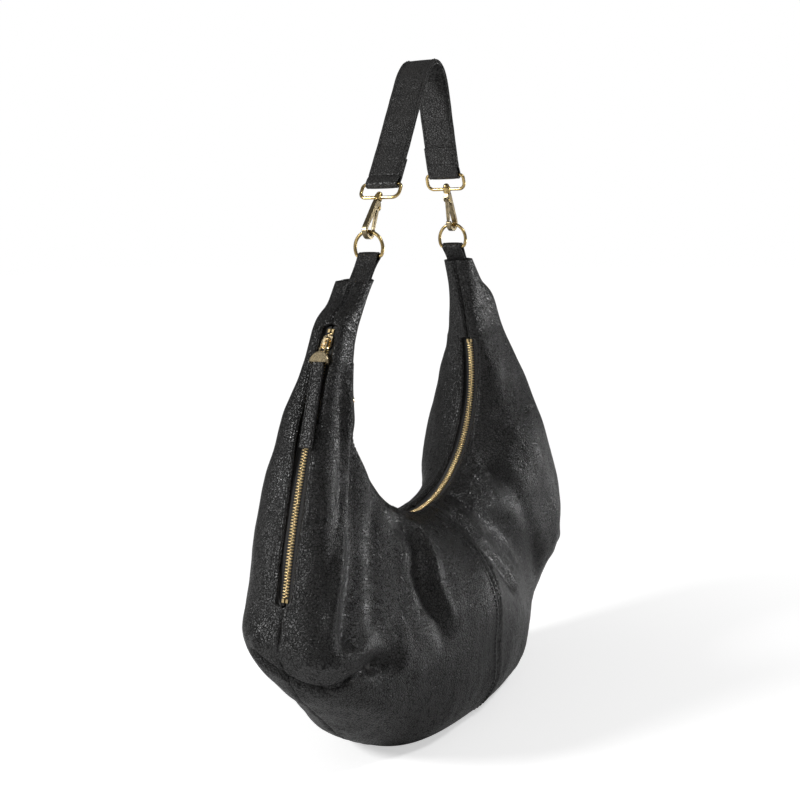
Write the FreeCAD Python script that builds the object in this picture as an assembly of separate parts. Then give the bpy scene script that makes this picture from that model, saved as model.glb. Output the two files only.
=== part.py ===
import FreeCAD, Part
import math
import os

# Hobo bag: a soft crescent of leather standing on its base, closed by a curved zip along its
# inner edge, with a zipped pocket in its left end and a short strap clipped to two D-rings.
# Units are mm. The origin is on the floor under the middle of the bag, +X runs from the left
# end to the right end, -Y is the front and +Z is up.

os.makedirs("parts", exist_ok=True)

V = FreeCAD.Vector
UP = V(0, 0, 1)
ALONG_Y = V(0, 1, 0)
ORIGIN = V(0, 0, 0)
FAR = 900.0                      # reach of the boxes that trim half spaces

# ---------------------------------------------------------------- leather body
LEATHER = 1.6                    # panel thickness
LINING_INSET = 2.4               # lining's outer face below the leather's outer face
LINING = 0.6
SEAM_GAP = 0.1                   # half gap where two panels meet at a seam
FORM_STEP = 0.5                  # spacing of the form's rows, in stations
FORM_COLUMNS = 16                # rows of points from the inner seam to the outer seam

# ---------------------------------------------------------------- main zip, on the inner edge
MOUTH_R = 118.0                  # radius of the curved mouth
MOUTH = (-12.0, 314.0)            # its centre, in X and Z
MOUTH_RISE = (17.0, 14.0)        # degrees that the zip runs above the centre, left and right
HORN_TIP = ((-84.0, 414.0), (79.3, 420.0))   # where the inner seam ends, left and right
TIP_OUT = 8.0                    # how much further out the left horn's outer corner is than the right's
TIP_DROP = 7.0                   # and how much lower

# ---------------------------------------------------------------- side zip, on the left end
SIDE_TOP = (142.4, 381.0)        # distance from the middle, and height
SIDE_FOOT = (230.0, 164.0)
SIDE_BULGE = 8.66                 # how far the end seam bows out between them

# ---------------------------------------------------------------- zip section
SLOT_HALF = 7.5                  # half width of the gap between the leather edges
LINING_SLOT_HALF = 9.6
TAPE_DEPTH = 3.8                 # tape's top below the seam line
TAPE = 0.6
TAPE_INNER = 0.8                 # half gap between the tapes, which the slider's post rides in
TAPE_OUTER = 9.3
CHAIN_HALF = 2.9                 # half width of the closed teeth
CHAIN_TOP = 1.2                  # above the tape's top
CHAIN_FOOT = 1.1                 # below the tape's top
STOP_LENGTH = 3.0

# ---------------------------------------------------------------- hardware
ROD_R = 1.5                      # brass rod of rings and loops
RING_X = 77.0
RING_Z = 441.0                   # centre of the round part of the D
RING_R = 14.0
RING_DROP = 7.4                  # straight bar below that centre
RING_CORNER = 3.0
TAB_HALF = 10.0
TAB_LEANS = (41.0, 33.0)         # left and right, degrees from upright, tops together
TAB_REACH = 44.0
TAB_THICK = 4.4
LEFT_LEAN = 34.0                 # hook and loop, degrees from upright, tops together
RIGHT_LEAN = 15.0
HOOK_HALF = 2.5                  # hook's half thickness
BIGHT_R = 4.4
HOOK_BAR = 3.2
BARREL_AT = 34.3                 # from the ring's rod to the loop's lower bar
LOOP_AT = 48.0                   # from the ring's rod to the loop's upper bar
LOOP_HALF = 19.5
STRAP_HALF = 16.0
STRAP_LAYER = 2.2
FOLD_CLEAR = 0.4
FOLD_LEATHER = 1.8


def save(shape, node):
    """Write one sub-part to its own file."""
    shape.exportStep("parts/" + node + ".step")
    print(node, "valid", shape.isValid(), "volume", round(shape.Volume, 1), "solids", len(shape.Solids))


def box(low, high):
    size = [high[i] - low[i] for i in range(3)]
    return Part.makeBox(size[0], size[1], size[2], V(*low))


def prism(points, half, middle=0.0):
    """A polygon in the XZ plane, made solid to both sides of Y = middle."""
    corners = [V(x, middle - half, z) for x, z in points]
    return Part.Face(Part.makePolygon(corners + corners[:1])).extrude(V(0, 2 * half, 0))


def rod_y(x, z, radius, low, high):
    """A round bar along Y."""
    return Part.makeCylinder(radius, high - low, V(x, low, z), ALONG_Y)


def mirrored(shape):
    """The same shape on the right instead of on the left."""
    return shape.mirror(ORIGIN, V(1, 0, 0))


def polar(centre, radius, degrees, y=0.0):
    a = math.radians(degrees)
    return V(centre[0] + radius * math.cos(a), y, centre[1] + radius * math.sin(a))


def ring_sector(centre, r_low, r_high, y_low, y_high, start, end):
    """A curved bar about an axis along Y, between two angles in the XZ plane."""
    middle = (start + end) / 2
    edges = [
        Part.Arc(*[polar(centre, r_high, a, y_low) for a in (start, middle, end)]).toShape(),
        Part.makeLine(polar(centre, r_high, end, y_low), polar(centre, r_low, end, y_low)),
        Part.Arc(*[polar(centre, r_low, a, y_low) for a in (end, middle, start)]).toShape(),
        Part.makeLine(polar(centre, r_low, start, y_low), polar(centre, r_high, start, y_low)),
    ]
    return Part.Face(Part.Wire(edges)).extrude(V(0, y_high - y_low, 0))


def swept_rod(wire, radius):
    """A round rod along a closed wire."""
    start = wire.Edges[0]
    point = start.valueAt(start.FirstParameter)
    tangent = start.tangentAt(start.FirstParameter)
    profile = Part.Wire(Part.makeCircle(radius, point, tangent))
    return wire.makePipeShell([profile], True, False)


# ---------------------------------------------------------------- the bag's form

side_chord = math.hypot(SIDE_FOOT[0] - SIDE_TOP[0], SIDE_TOP[1] - SIDE_FOOT[1])
SIDE_R = side_chord ** 2 / (8 * SIDE_BULGE) + SIDE_BULGE / 2
side_out = ((SIDE_TOP[1] - SIDE_FOOT[1]) / side_chord, (SIDE_FOOT[0] - SIDE_TOP[0]) / side_chord)
side_back = SIDE_R - SIDE_BULGE
SIDE_CENTRE = (
    (SIDE_TOP[0] + SIDE_FOOT[0]) / 2 - side_back * side_out[0],
    (SIDE_TOP[1] + SIDE_FOOT[1]) / 2 - side_back * side_out[1],
)


def end_seam_x(z):
    """Distance from the middle of the bow that the side zip lies on."""
    return SIDE_CENTRE[0] + math.sqrt(SIDE_R ** 2 - (z - SIDE_CENTRE[1]) ** 2)


# From the middle of the mouth to the tip of a horn: place along the inner seam (0 to 1 round
# the mouth, 1 to 2 up the horn), the outer seam's X and Z, the half depth at the front of the
# left and right half and at their back, how hollow the front of the left half and the back of
# the right half are beside the mouth, and how boxy the section is at its inner and outer side
# (2 is an ellipse).
STATIONS = (
    (0.0, 0.0, -8.0, 80.0, 80.0, 80.0, 80.0, 0.0, 0.0, 2.0, 2.8),
    (0.095, 110.0, 2.0, 76.0, 69.0, 66.0, 76.0, 0.04, 0.0, 2.0, 2.8),
    (0.162, 179.0, 48.0, 67.0, 48.0, 50.0, 64.0, 0.15, 0.0, 2.0, 2.6),
    (0.229, 220.0, 90.0, 62.0, 56.0, 50.0, 60.0, 0.3, 0.0, 2.0, 2.7),
    (0.314, 239.0, 124.0, 57.0, 58.0, 57.0, 60.0, 0.45, -0.05, 2.0, 3.0),
    (0.429, end_seam_x(160.0), 160.0, 48.0, 56.0, 60.0, 62.0, 0.5, -0.1, 2.0, 2.9),
    (0.619, end_seam_x(232.0), 232.0, 34.0, 49.0, 49.0, 58.0, 0.38, -0.14, 2.2, 2.8),
    (0.81, end_seam_x(297.0), 297.0, 21.0, 29.0, 35.0, 44.0, 0.12, -0.14, 2.6, 3.4),
    (1.0, end_seam_x(349.0), 349.0, 15.0, 15.0, 21.5, 27.0, 0.0, -0.1, 3.9, 5.0),
    (1.28, end_seam_x(383.0), 383.0, 13.0, 13.0, 20.0, 21.0, 0.0, -0.05, 3.6, 5.0),
    (1.6, 118.0, 400.0, 13.2, 13.4, 20.0, 17.0, 0.0, 0.0, 2.8, 3.4),
    (2.0, 99.0, 421.0, 12.6, 12.6, 21.0, 14.5, 0.0, 0.0, 2.6, 2.6),
)
HOLLOW_PEAK = 0.5625             # highest value of the hollow's shape across the section
TIP = len(STATIONS) - 1
LINING_TIP = TIP - 1.2           # the lining ends below the tabs that are sewn into the horns
FRONT_DEPTHS = 3                 # first of the two columns of front depths
BACK_DEPTHS = 5
FRONT_LEFT_HOLLOW = 7
BACK_RIGHT_HOLLOW = 8
INNER_POWER = 9
OUTER_POWER = 10


def between(column, t):
    """A smooth value of one column of STATIONS at t, counted in stations from the middle."""
    k = min(int(t), TIP - 1)
    f = t - k
    values = [row[column] for row in STATIONS]
    b, c = values[k], values[k + 1]
    a = values[k - 1] if k > 0 else (-c if column < 2 else c)
    d = values[k + 2] if k + 2 <= TIP else 2 * c - b
    return b + 0.5 * f * (c - a + f * (2 * a - 5 * b + 4 * c - d + f * (3 * (b - c) + d - a)))


def inner_seam(place, side):
    """The inner seam: round the mouth, then in one curve up the horn on that side."""
    end = 0 if side < 0 else 1
    a = min(place, 1.0) * math.radians(90.0 + MOUTH_RISE[end])
    x = MOUTH[0] + side * MOUTH_R * math.sin(a)
    z = MOUTH[1] - MOUTH_R * math.cos(a)
    if place <= 1.0:
        return x, z
    tip_x, tip_z = HORN_TIP[end]
    f = place - 1.0
    lead = f * (1 - f) * math.hypot(tip_x - x, tip_z - z)
    return (x + f * f * (tip_x - x) + side * lead * math.cos(a),
            z + f * f * (tip_z - z) + lead * math.sin(a))


def form_point(t, angle, face):
    """A point of the skin. t is below 0 on the left half; angle runs from 0 at the inner seam
    to pi at the outer seam; face is -1 at the front and 1 at the back."""
    size = abs(t)
    side = -1.0 if t < 0 else 1.0
    depths = FRONT_DEPTHS if face < 0 else BACK_DEPTHS
    depth = between(depths if t < 0 else depths + 1, size)
    ix, iz = inner_seam(between(0, size), side)
    ox, oz = side * between(1, size), between(2, size)
    if t < 0:
        share = (max(size - TIP + 2, 0.0) / 2) ** 2
        ox -= TIP_OUT * share
        oz -= TIP_DROP * share
    if (face < 0) == (t < 0):
        hollow = between(FRONT_LEFT_HOLLOW if t < 0 else BACK_RIGHT_HOLLOW, size)
        depth *= 1 - hollow * (math.sin(angle) * math.cos(angle / 2)) ** 2 / HOLLOW_PEAK
    power = 2.0 / between(INNER_POWER if angle < math.pi / 2 else OUTER_POWER, size)
    c = math.cos(angle)
    s = 0.5 - 0.5 * math.copysign(abs(c) ** power, c)
    bulge = 0.0 if angle in (0.0, math.pi) else abs(math.sin(angle)) ** power
    return V(ix + (ox - ix) * s, face * depth * bulge, iz + (oz - iz) * s)


def skin_point(t, angle, face, inset):
    """The same point, moved into the bag within its own section until it is inset below the skin."""
    point = form_point(t, angle, face)
    if inset == 0:
        return point
    d = 0.02
    low, high = max(angle - d, 0.0), min(angle + d, math.pi)
    normal = (form_point(t + d, angle, face) - form_point(t - d, angle, face)).cross(
        form_point(t, high, face) - form_point(t, low, face)) * -face
    if angle in (0.0, math.pi):
        normal.y = 0
    normal.normalize()
    chord = form_point(t, math.pi, face) - form_point(t, 0.0, face)
    square = chord.cross(ALONG_Y)
    square.normalize()
    inward = normal - square * normal.dot(square)
    return point + inward * (inset / inward.dot(normal))


def half_form(face, inset, tip):
    """The solid between the front or back skin, the plane Y = 0 and the two tips."""
    rows = int(round(2 * TIP / FORM_STEP))
    angles = [math.pi * j / FORM_COLUMNS for j in range(FORM_COLUMNS + 1)]
    grid = []
    for i in range(rows + 1):
        t = tip * (2.0 * i / rows - 1)
        grid.append([skin_point(t, a, face, inset) for a in angles])
    surface = Part.BSplineSurface()
    surface.interpolate(grid)
    skin = surface.toShape()
    flat = [e for e in skin.Edges if max(abs(e.BoundBox.YMin), abs(e.BoundBox.YMax)) < 0.01]
    tips = [e for e in skin.Edges if not any(e.isSame(f) for f in flat)]
    closers = [Part.makeLine(grid[i][0], grid[i][-1]) for i in (0, -1)]
    faces = [skin, Part.Face(Part.Wire(Part.__sortEdges__(flat + closers)))]
    for tip_edge in tips:
        closer = min(closers, key=lambda line: line.CenterOfMass.distanceToPoint(tip_edge.CenterOfMass))
        faces.append(Part.Face(Part.Wire(Part.__sortEdges__([tip_edge, closer]))))
    shell = Part.makeShell(faces)
    shell.sewShape()
    solid = Part.Solid(shell)
    if solid.Volume < 0:
        solid.reverse()
    return solid


def hollow_half(face, inset, thickness, tips, slot_half):
    """Front or back half of a thin shell that is open at its tips and stands on a flat base,
    with the gaps for both zips."""
    outside = half_form(face, inset, tips[0]).common(box((-FAR, -FAR, inset), (FAR, FAR, FAR)))
    inside = half_form(face, inset + thickness, tips[1]).common(
        box((-FAR, -FAR, inset + thickness), (FAR, FAR, FAR)))
    ys = sorted((face * SEAM_GAP, face * FAR))
    half = outside.cut(inside).cut(zip_slots(slot_half))
    return half.common(box((-FAR, ys[0], -FAR), (FAR, ys[1], FAR)))


SIDE_LEFT = (-SIDE_CENTRE[0], SIDE_CENTRE[1])
main_span = (-180.0 - MOUTH_RISE[0], MOUTH_RISE[1])
side_span = tuple(
    180.0 - math.degrees(math.atan2(z - SIDE_CENTRE[1], x - SIDE_CENTRE[0])) for x, z in (SIDE_TOP, SIDE_FOOT))


def zip_slots(half):
    """The gaps in the leather or lining over both zips."""
    reach = 12.0
    main = ring_sector(MOUTH, MOUTH_R - reach, MOUTH_R + reach, -half, half, *main_span)
    side = ring_sector(SIDE_LEFT, SIDE_R - reach, SIDE_R + reach, -half, half, *side_span)
    return main.fuse(side)


left_half = box((-FAR, -FAR, -FAR), (-SEAM_GAP, FAR, FAR))
right_half = box((SEAM_GAP, -FAR, -FAR), (FAR, FAR, FAR))
for name, face in (("front", -1), ("back", 1)):
    shell = hollow_half(face, 0.0, LEATHER, (TIP, TIP + 0.2), SLOT_HALF)
    save(shell.common(left_half), name + "_panel_left")
    save(shell.common(right_half), name + "_panel_right")
    lining = hollow_half(face, LINING_INSET, LINING, (LINING_TIP, LINING_TIP + 0.2), LINING_SLOT_HALF)
    save(lining, "lining_" + name)

# ---------------------------------------------------------------- pockets inside

POCKET_CLOTH = 0.5
SIDE_POCKET_HALF = 8.0
side_pocket_outline = (
    (-147.0, 350.0), (-172.0, 297.0), (-196.0, 234.0), (-211.0, 184.0), (-216.0, 140.0), (-206.0, 108.0),
    (-156.0, 104.0), (-142.0, 190.0), (-134.0, 262.0), (-140.5, 328.0),
)
side_pocket_hollow = (
    (-157.0, 350.0), (-182.0, 297.0), (-206.0, 234.0), (-221.0, 184.0), (-215.0, 140.0), (-205.5, 108.5),
    (-156.5, 104.5), (-142.6, 190.0), (-134.6, 262.0), (-141.1, 328.0),
)
side_pocket = prism(side_pocket_outline, SIDE_POCKET_HALF).cut(
    prism(side_pocket_hollow, SIDE_POCKET_HALF - POCKET_CLOTH))
save(side_pocket, "side_pocket_bag")

INNER_POCKET_HALF = 75.0
INNER_POCKET_Y = 50.0
INNER_POCKET_GAP = 2.4
patch_low, patch_high = 54.0, 136.0
patch = box((-INNER_POCKET_HALF, INNER_POCKET_Y, patch_low),
            (INNER_POCKET_HALF, INNER_POCKET_Y + INNER_POCKET_GAP + POCKET_CLOTH, patch_high))
patch = patch.cut(box((-INNER_POCKET_HALF + POCKET_CLOTH, INNER_POCKET_Y + POCKET_CLOTH, patch_low + POCKET_CLOTH),
                      (INNER_POCKET_HALF - POCKET_CLOTH, FAR, FAR)))
save(patch, "inner_slip_pocket")

# ---------------------------------------------------------------- zips

SLIDER_HALF = 4.6
SLIDER_END = 6.0
PLATE_LOW = 1.6                  # slider's top plate, above the tape's top
PLATE_HIGH = 2.8
BELLY_LOW = -2.4                 # slider's bottom plate
BELLY_HIGH = -1.5
POST_HALF = 0.5
PIN_HEIGHT = 5.0
PIN_R = 0.8
BRIDGE_TOP = 7.0


def zip_set(prefix, centre, radius, outward, span):
    """Tapes, closed teeth and end stops of one zip. outward is +1 where the outside of the
    bag is away from the centre of the zip's curve."""

    def layer(y_low, y_high, low, high, ends):
        radii = sorted((radius + outward * (low - TAPE_DEPTH), radius + outward * (high - TAPE_DEPTH)))
        return ring_sector(centre, radii[0], radii[1], y_low, y_high, *ends)

    degrees = math.degrees(1.0 / radius)
    for name, sign in (("front", -1), ("back", 1)):
        ys = sorted((sign * TAPE_INNER, sign * TAPE_OUTER))
        save(layer(ys[0], ys[1], -TAPE, 0.0, span), prefix + "_zip_tape_" + name)
    first, last = span[0] + STOP_LENGTH * 2 * degrees, span[1] - STOP_LENGTH * 2 * degrees
    rows = []
    stops = []
    for sign in (-1, 1):
        ys = sorted((sign * TAPE_INNER, sign * CHAIN_HALF))
        for low, high in ((0.0, CHAIN_TOP), (-CHAIN_FOOT, -TAPE)):
            rows.append(layer(ys[0], ys[1], low, high, (first, last)))
            for start in (first - (STOP_LENGTH + 0.3) * degrees, last + 0.3 * degrees):
                stops.append(layer(ys[0], ys[1], low, high, (start, start + STOP_LENGTH * degrees)))
    save(Part.makeCompound(rows), prefix + "_zip_teeth")
    save(Part.makeCompound(stops), prefix + "_zip_stops")


def slider():
    """Slider on its tape: X along the zip, Z away from the bag, Z = 0 on the tape's top."""
    plate = box((-SLIDER_END, -SLIDER_HALF, PLATE_LOW), (SLIDER_END, SLIDER_HALF, PLATE_HIGH))
    plate = plate.makeFillet(2.2, [e for e in plate.Edges if abs(e.tangentAt(e.FirstParameter).z) > 0.9])
    plate = plate.makeFillet(0.4, [e for e in plate.Edges if e.BoundBox.ZMin > PLATE_HIGH - 0.01])
    belly = box((-SLIDER_END, -SLIDER_HALF, BELLY_LOW), (SLIDER_END, SLIDER_HALF, BELLY_HIGH))
    belly = belly.makeFillet(2.2, [e for e in belly.Edges if abs(e.tangentAt(e.FirstParameter).z) > 0.9])
    body = plate.fuse(belly)
    body = body.fuse(box((-4.6, -POST_HALF, BELLY_LOW), (-1.6, POST_HALF, PLATE_HIGH)))
    for sign in (-1, 1):
        ys = sorted((sign * 3.5, sign * SLIDER_HALF))
        body = body.fuse(box((-3.8, ys[0], 0.5), (3.8, ys[1], PLATE_LOW)))
    arch = [V(-4.4, 0, PLATE_HIGH - 0.2), V(-4.0, 0, BRIDGE_TOP - 1.2), V(-2.4, 0, BRIDGE_TOP),
            V(2.4, 0, BRIDGE_TOP), V(4.0, 0, BRIDGE_TOP - 1.2), V(4.4, 0, PLATE_HIGH - 0.2)]
    hole = [V(2.6, 0, PLATE_HIGH - 0.2), V(2.6, 0, BRIDGE_TOP - 1.8), V(1.8, 0, BRIDGE_TOP - 1.1),
            V(-1.8, 0, BRIDGE_TOP - 1.1), V(-2.6, 0, BRIDGE_TOP - 1.8), V(-2.6, 0, PLATE_HIGH - 0.2)]
    bridge = Part.Face(Part.makePolygon(arch + hole + arch[:1])).extrude(V(0, 2.4, 0))
    bridge.translate(V(0, -1.2, 0))
    return body.fuse(bridge).removeSplitter()


CAP_AT = 10.0                    # from the pin to the cap's crown
CAP_R = 9.0
CAP_HALF = 2.6
ARM_GAP = 2.0                    # from the middle to each arm of the link
TAB_W_HALF = 6.0
TAB_T_HALF = 1.5


def puller(tab_length, droop, sway):
    """Link, cap and tab, hanging along +X from a pin on the Y axis. Returns metal and leather.
    Where the leather leaves the cap it bends back towards the bag by droop, and sideways by sway."""
    pin = rod_y(0, 0, PIN_R, -ARM_GAP - 1.0, ARM_GAP + 1.0)
    arms = []
    for sign in (-1, 1):
        outline = [V(-1.2, 0, -0.9), V(1.2, 0, -0.9), V(CAP_AT + 2, 0, -0.9),
                   V(CAP_AT + 2, 0, 0.9), V(1.2, 0, 0.9), V(-1.2, 0, 0.9)]
        arm = Part.Face(Part.makePolygon(outline + outline[:1])).extrude(V(0, 1.0, 0))
        arm.translate(V(0, -0.5 + sign * (ARM_GAP + 0.5), 0))
        arms.append(arm)
    dome = Part.makeSphere(CAP_R, V(CAP_AT + CAP_R, 0, 0))
    dome = dome.common(box((CAP_AT, -CAP_R, -CAP_HALF), (CAP_AT + CAP_R + 1.5, CAP_R, CAP_HALF)))
    dome = dome.makeFillet(1.2, [e for e in dome.Edges
                                 if abs(abs(e.BoundBox.ZMin) - CAP_HALF) < 0.01
                                 and abs(abs(e.BoundBox.ZMax) - CAP_HALF) < 0.01
                                 and e.BoundBox.XMin < CAP_AT + CAP_R - 1])
    mouth = box((CAP_AT + 4.5, -TAB_W_HALF - 0.05, -TAB_T_HALF - 0.05),
                (CAP_AT + CAP_R + 3, TAB_W_HALF + 0.05, TAB_T_HALF + 0.05))
    metal = dome.fuse([pin] + arms).cut(mouth).removeSplitter()
    start = CAP_AT + 4.8
    bend = CAP_AT + CAP_R + 2.0
    end = CAP_AT + CAP_R + tab_length
    fall = (end - bend) * math.tan(math.radians(droop))
    root = prism(((start, -TAB_T_HALF), (bend + 1.0, -TAB_T_HALF), (bend + 1.0, TAB_T_HALF),
                  (start, TAB_T_HALF)), TAB_W_HALF)
    tail = prism(((bend, -TAB_T_HALF), (end, -TAB_T_HALF - fall), (end, TAB_T_HALF - fall),
                  (bend, TAB_T_HALF)), TAB_W_HALF)
    tail.rotate(V(bend, 0, 0), UP, sway)
    leather = root.fuse(tail).removeSplitter()
    return metal, leather


def on_zip(shape, centre, radius, outward, degrees, forward):
    """Put a shape built on a straight zip at an angle of the curved one. forward is +1 where
    the shape's +X points towards growing angles."""
    a = math.radians(degrees)
    out = V(math.cos(a), 0, math.sin(a)) * outward
    along = V(-math.sin(a), 0, math.cos(a)) * forward
    across = out.cross(along)
    frame = FreeCAD.Matrix(along.x, across.x, out.x, 0, along.y, across.y, out.y, 0,
                           along.z, across.z, out.z, 0, 0, 0, 0, 1)
    placed = shape.copy()
    placed.Placement = FreeCAD.Placement(frame).multiply(placed.Placement)
    base = polar(centre, radius - outward * TAPE_DEPTH, degrees)
    placed.Placement = FreeCAD.Placement(base, FreeCAD.Rotation()).multiply(placed.Placement)
    return placed


def lifted(shape, degrees, height):
    """Lift a puller's free end about its pin, and raise it to its bridge."""
    turned = shape.copy()
    turned.rotate(ORIGIN, ALONG_Y, -degrees)
    turned.translate(V(0, 0, height))
    return turned


zip_set("main", MOUTH, MOUTH_R, -1, main_span)
zip_set("side", SIDE_LEFT, SIDE_R, 1, side_span)

SLIDER_BACK = 15.0               # slider's middle from the zip's end, along the zip
MAIN_PULL_LIFT = 15.0
SIDE_PULL_LIFT = 5.0
MAIN_TAB = 20.0
SIDE_TAB = 74.0
SIDE_DROOP = 6.5
SIDE_SWAY = 5.0
main_slider_at = main_span[0] + math.degrees(SLIDER_BACK / MOUTH_R)
side_slider_at = side_span[0] + math.degrees(SLIDER_BACK / SIDE_R)
for prefix, curve, at, lift, sway, tab, droop in (
        ("main", (MOUTH, MOUTH_R, -1), main_slider_at, MAIN_PULL_LIFT, 0.0, MAIN_TAB, 0.0),
        ("side", (SIDE_LEFT, SIDE_R, 1), side_slider_at, SIDE_PULL_LIFT, SIDE_SWAY, SIDE_TAB, SIDE_DROOP)):
    save(on_zip(slider(), *curve, at, 1), prefix + "_slider")
    metal, leather = [on_zip(lifted(s, lift, PIN_HEIGHT), *curve, at, 1) for s in puller(tab, droop, sway)]
    save(metal, prefix + "_pull_cap")
    save(leather, prefix + "_pull_tab")
    pin = on_zip(Part.Vertex(0, 0, PIN_HEIGHT), *curve, at, 1).Point
    print(prefix, "pull pin at", tuple(round(c, 3) for c in pin), "slider angle", round(at, 3), "span", curve, )

# ---------------------------------------------------------------- tabs and D-rings


def ring(x):
    """D-ring in the YZ plane: a round top on a straight bar."""
    inner = RING_R - RING_CORNER
    corner_z = RING_CORNER - RING_DROP
    corner_y = math.sqrt(inner ** 2 - corner_z ** 2)
    scale = RING_R / inner

    def at(y, z):
        return V(x, y, RING_Z + z)

    side_a = math.atan2(corner_z, corner_y)
    down = (side_a - math.pi / 2) / 2
    edges = [Part.makeLine(at(-corner_y, -RING_DROP), at(corner_y, -RING_DROP))]
    for sign in (1, -1):
        knee = at(sign * (corner_y + RING_CORNER * math.cos(down)), corner_z + RING_CORNER * math.sin(down))
        edges.append(Part.Arc(at(sign * corner_y, -RING_DROP), knee,
                              at(sign * corner_y * scale, corner_z * scale)).toShape())
    edges.append(Part.Arc(at(corner_y * scale, corner_z * scale), at(0, RING_R),
                          at(-corner_y * scale, corner_z * scale)).toShape())
    return swept_rod(Part.Wire(Part.__sortEdges__(edges)), ROD_R)


def tab(lean):
    """Left leather tab: folded round the ring's bar and sewn into the horn."""
    hole_r = ROD_R + FOLD_CLEAR
    eye = rod_y(0, 0, hole_r + FOLD_LEATHER, -TAB_HALF, TAB_HALF)
    tongue = box((-TAB_THICK / 2, -TAB_HALF, -TAB_REACH), (TAB_THICK / 2, TAB_HALF, 0))
    whole = eye.fuse(tongue).cut(rod_y(0, 0, hole_r, -FAR, FAR)).removeSplitter()
    whole.rotate(ORIGIN, ALONG_Y, lean)
    whole.translate(V(-RING_X, 0, RING_Z - RING_DROP))
    return whole


save(ring(-RING_X), "ring_left")
save(ring(RING_X), "ring_right")
save(tab(TAB_LEANS[0]), "tab_left")
save(mirrored(tab(TAB_LEANS[1])), "tab_right")

# ---------------------------------------------------------------- swivel hooks and loops
# Built upright about the ring's rod: X across the hook with its spine at -X, Z along it.

BIGHT_Z = 1.0                    # centre of the hook's curve above the rod's centre
COLLAR_Z = 30.6
SPINE_TOP = (-4.0, 26.5)
SPINE_INSIDE = (-0.6, 20.6)
NOSE_TOP = 3.2
PIVOT = (2.6, 25.0)
PIVOT_R = 0.9
GATE_HALF = 1.3
GATE_FOOT = 5.2
GATE_SLOT = 1.6
SPRING_R = 1.35
SPRING_WIRE_R = 0.22
SPRING_SEAT = 0.9                # depth of the gate's recess for its spring
SWIVEL_R = 1.5
SWIVEL_CLEAR = 0.05
BOSS_R = 3.5
BOSS_LOW = 31.2
BOSS_HIGH = 36.8
HEAD_R = 2.9


def hook_body():
    outer_r = BIGHT_R + HOOK_BAR

    def at(x, z):
        return V(x, -HOOK_HALF, z)

    def on_bight(radius, degrees):
        a = math.radians(degrees)
        return at(radius * math.cos(a), BIGHT_Z + radius * math.sin(a))

    def leaves_bight(radius, x, z):
        reach = math.hypot(x, z - BIGHT_Z)
        return on_bight(radius, math.degrees(math.atan2(z - BIGHT_Z, x) + math.acos(radius / reach)))

    outer_foot = leaves_bight(outer_r, *SPINE_TOP)
    inner_foot = leaves_bight(BIGHT_R, *SPINE_INSIDE)
    edges = [
        Part.Arc(inner_foot, on_bight(BIGHT_R, 270.0), on_bight(BIGHT_R, 360.0)).toShape(),
        Part.makeLine(at(BIGHT_R, BIGHT_Z), at(BIGHT_R, NOSE_TOP)),
        Part.Arc(at(BIGHT_R, NOSE_TOP), at(BIGHT_R + HOOK_BAR / 2, NOSE_TOP + HOOK_BAR / 2),
                 at(outer_r, NOSE_TOP)).toShape(),
        Part.makeLine(at(outer_r, NOSE_TOP), at(outer_r, BIGHT_Z)),
        Part.Arc(on_bight(outer_r, 360.0), on_bight(outer_r, 270.0), outer_foot).toShape(),
    ]
    spine = [outer_foot, at(*SPINE_TOP), at(-3.0, COLLAR_Z), at(3.0, COLLAR_Z), at(5.0, 26.4),
             at(5.0, 23.6), at(*SPINE_INSIDE), inner_foot]
    edges += [Part.makeLine(a, b) for a, b in zip(spine[:-1], spine[1:])]
    body = Part.Face(Part.Wire(Part.__sortEdges__(edges))).extrude(V(0, 2 * HOOK_HALF, 0))
    rims = [e for e in body.Edges if abs(abs(e.BoundBox.YMin) - HOOK_HALF) < 0.01
            and abs(e.BoundBox.YMax - e.BoundBox.YMin) < 0.01]
    body = body.makeFillet(0.7, rims)
    slot = prism(((-1.5, 20.0), (6.5, 20.0), (6.5, 27.6), (0.2, 27.6), (-0.4, 24.0)), GATE_SLOT)
    bore = Part.makeCylinder(SWIVEL_R, 8, V(0, 0, COLLAR_Z - 2.8), UP)
    return body.cut(slot).cut(bore).cut(rod_y(PIVOT[0], PIVOT[1], PIVOT_R, -FAR, FAR))


def gate():
    blade = prism(((1.5, 25.8), (0.9, 24.2), (4.3, GATE_FOOT + 1.4), (5.0, GATE_FOOT), (7.0, GATE_FOOT),
                   (7.3, GATE_FOOT + 1.4), (4.6, 25.6), (3.2, 26.8)), GATE_HALF)
    blade = blade.makeFillet(0.4, [e for e in blade.Edges if e.BoundBox.YLength < 0.01])
    blade = blade.cut(rod_y(PIVOT[0], PIVOT[1], SPRING_R + 2 * SPRING_WIRE_R, GATE_HALF - SPRING_SEAT, FAR))
    return blade.cut(rod_y(PIVOT[0], PIVOT[1], PIVOT_R + SWIVEL_CLEAR, -FAR, FAR))


def gate_pin():
    pin = rod_y(PIVOT[0], PIVOT[1], PIVOT_R, -HOOK_HALF - 0.3, HOOK_HALF + 0.3)
    heads = [rod_y(PIVOT[0], PIVOT[1], 1.5, y, y + 0.5) for y in (-HOOK_HALF - 0.5, HOOK_HALF)]
    return pin.fuse(heads).removeSplitter()


def swivel_rivet():
    pin = Part.makeCylinder(SWIVEL_R, BOSS_HIGH + 0.5 - (COLLAR_Z - 2.8), V(0, 0, COLLAR_Z - 2.8), UP)
    head = Part.makeSphere(HEAD_R, V(0, 0, BOSS_HIGH + 0.3)).common(
        box((-HEAD_R, -HEAD_R, BOSS_HIGH + 0.3), (HEAD_R, HEAD_R, FAR)))
    return pin.fuse(head).removeSplitter()


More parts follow.
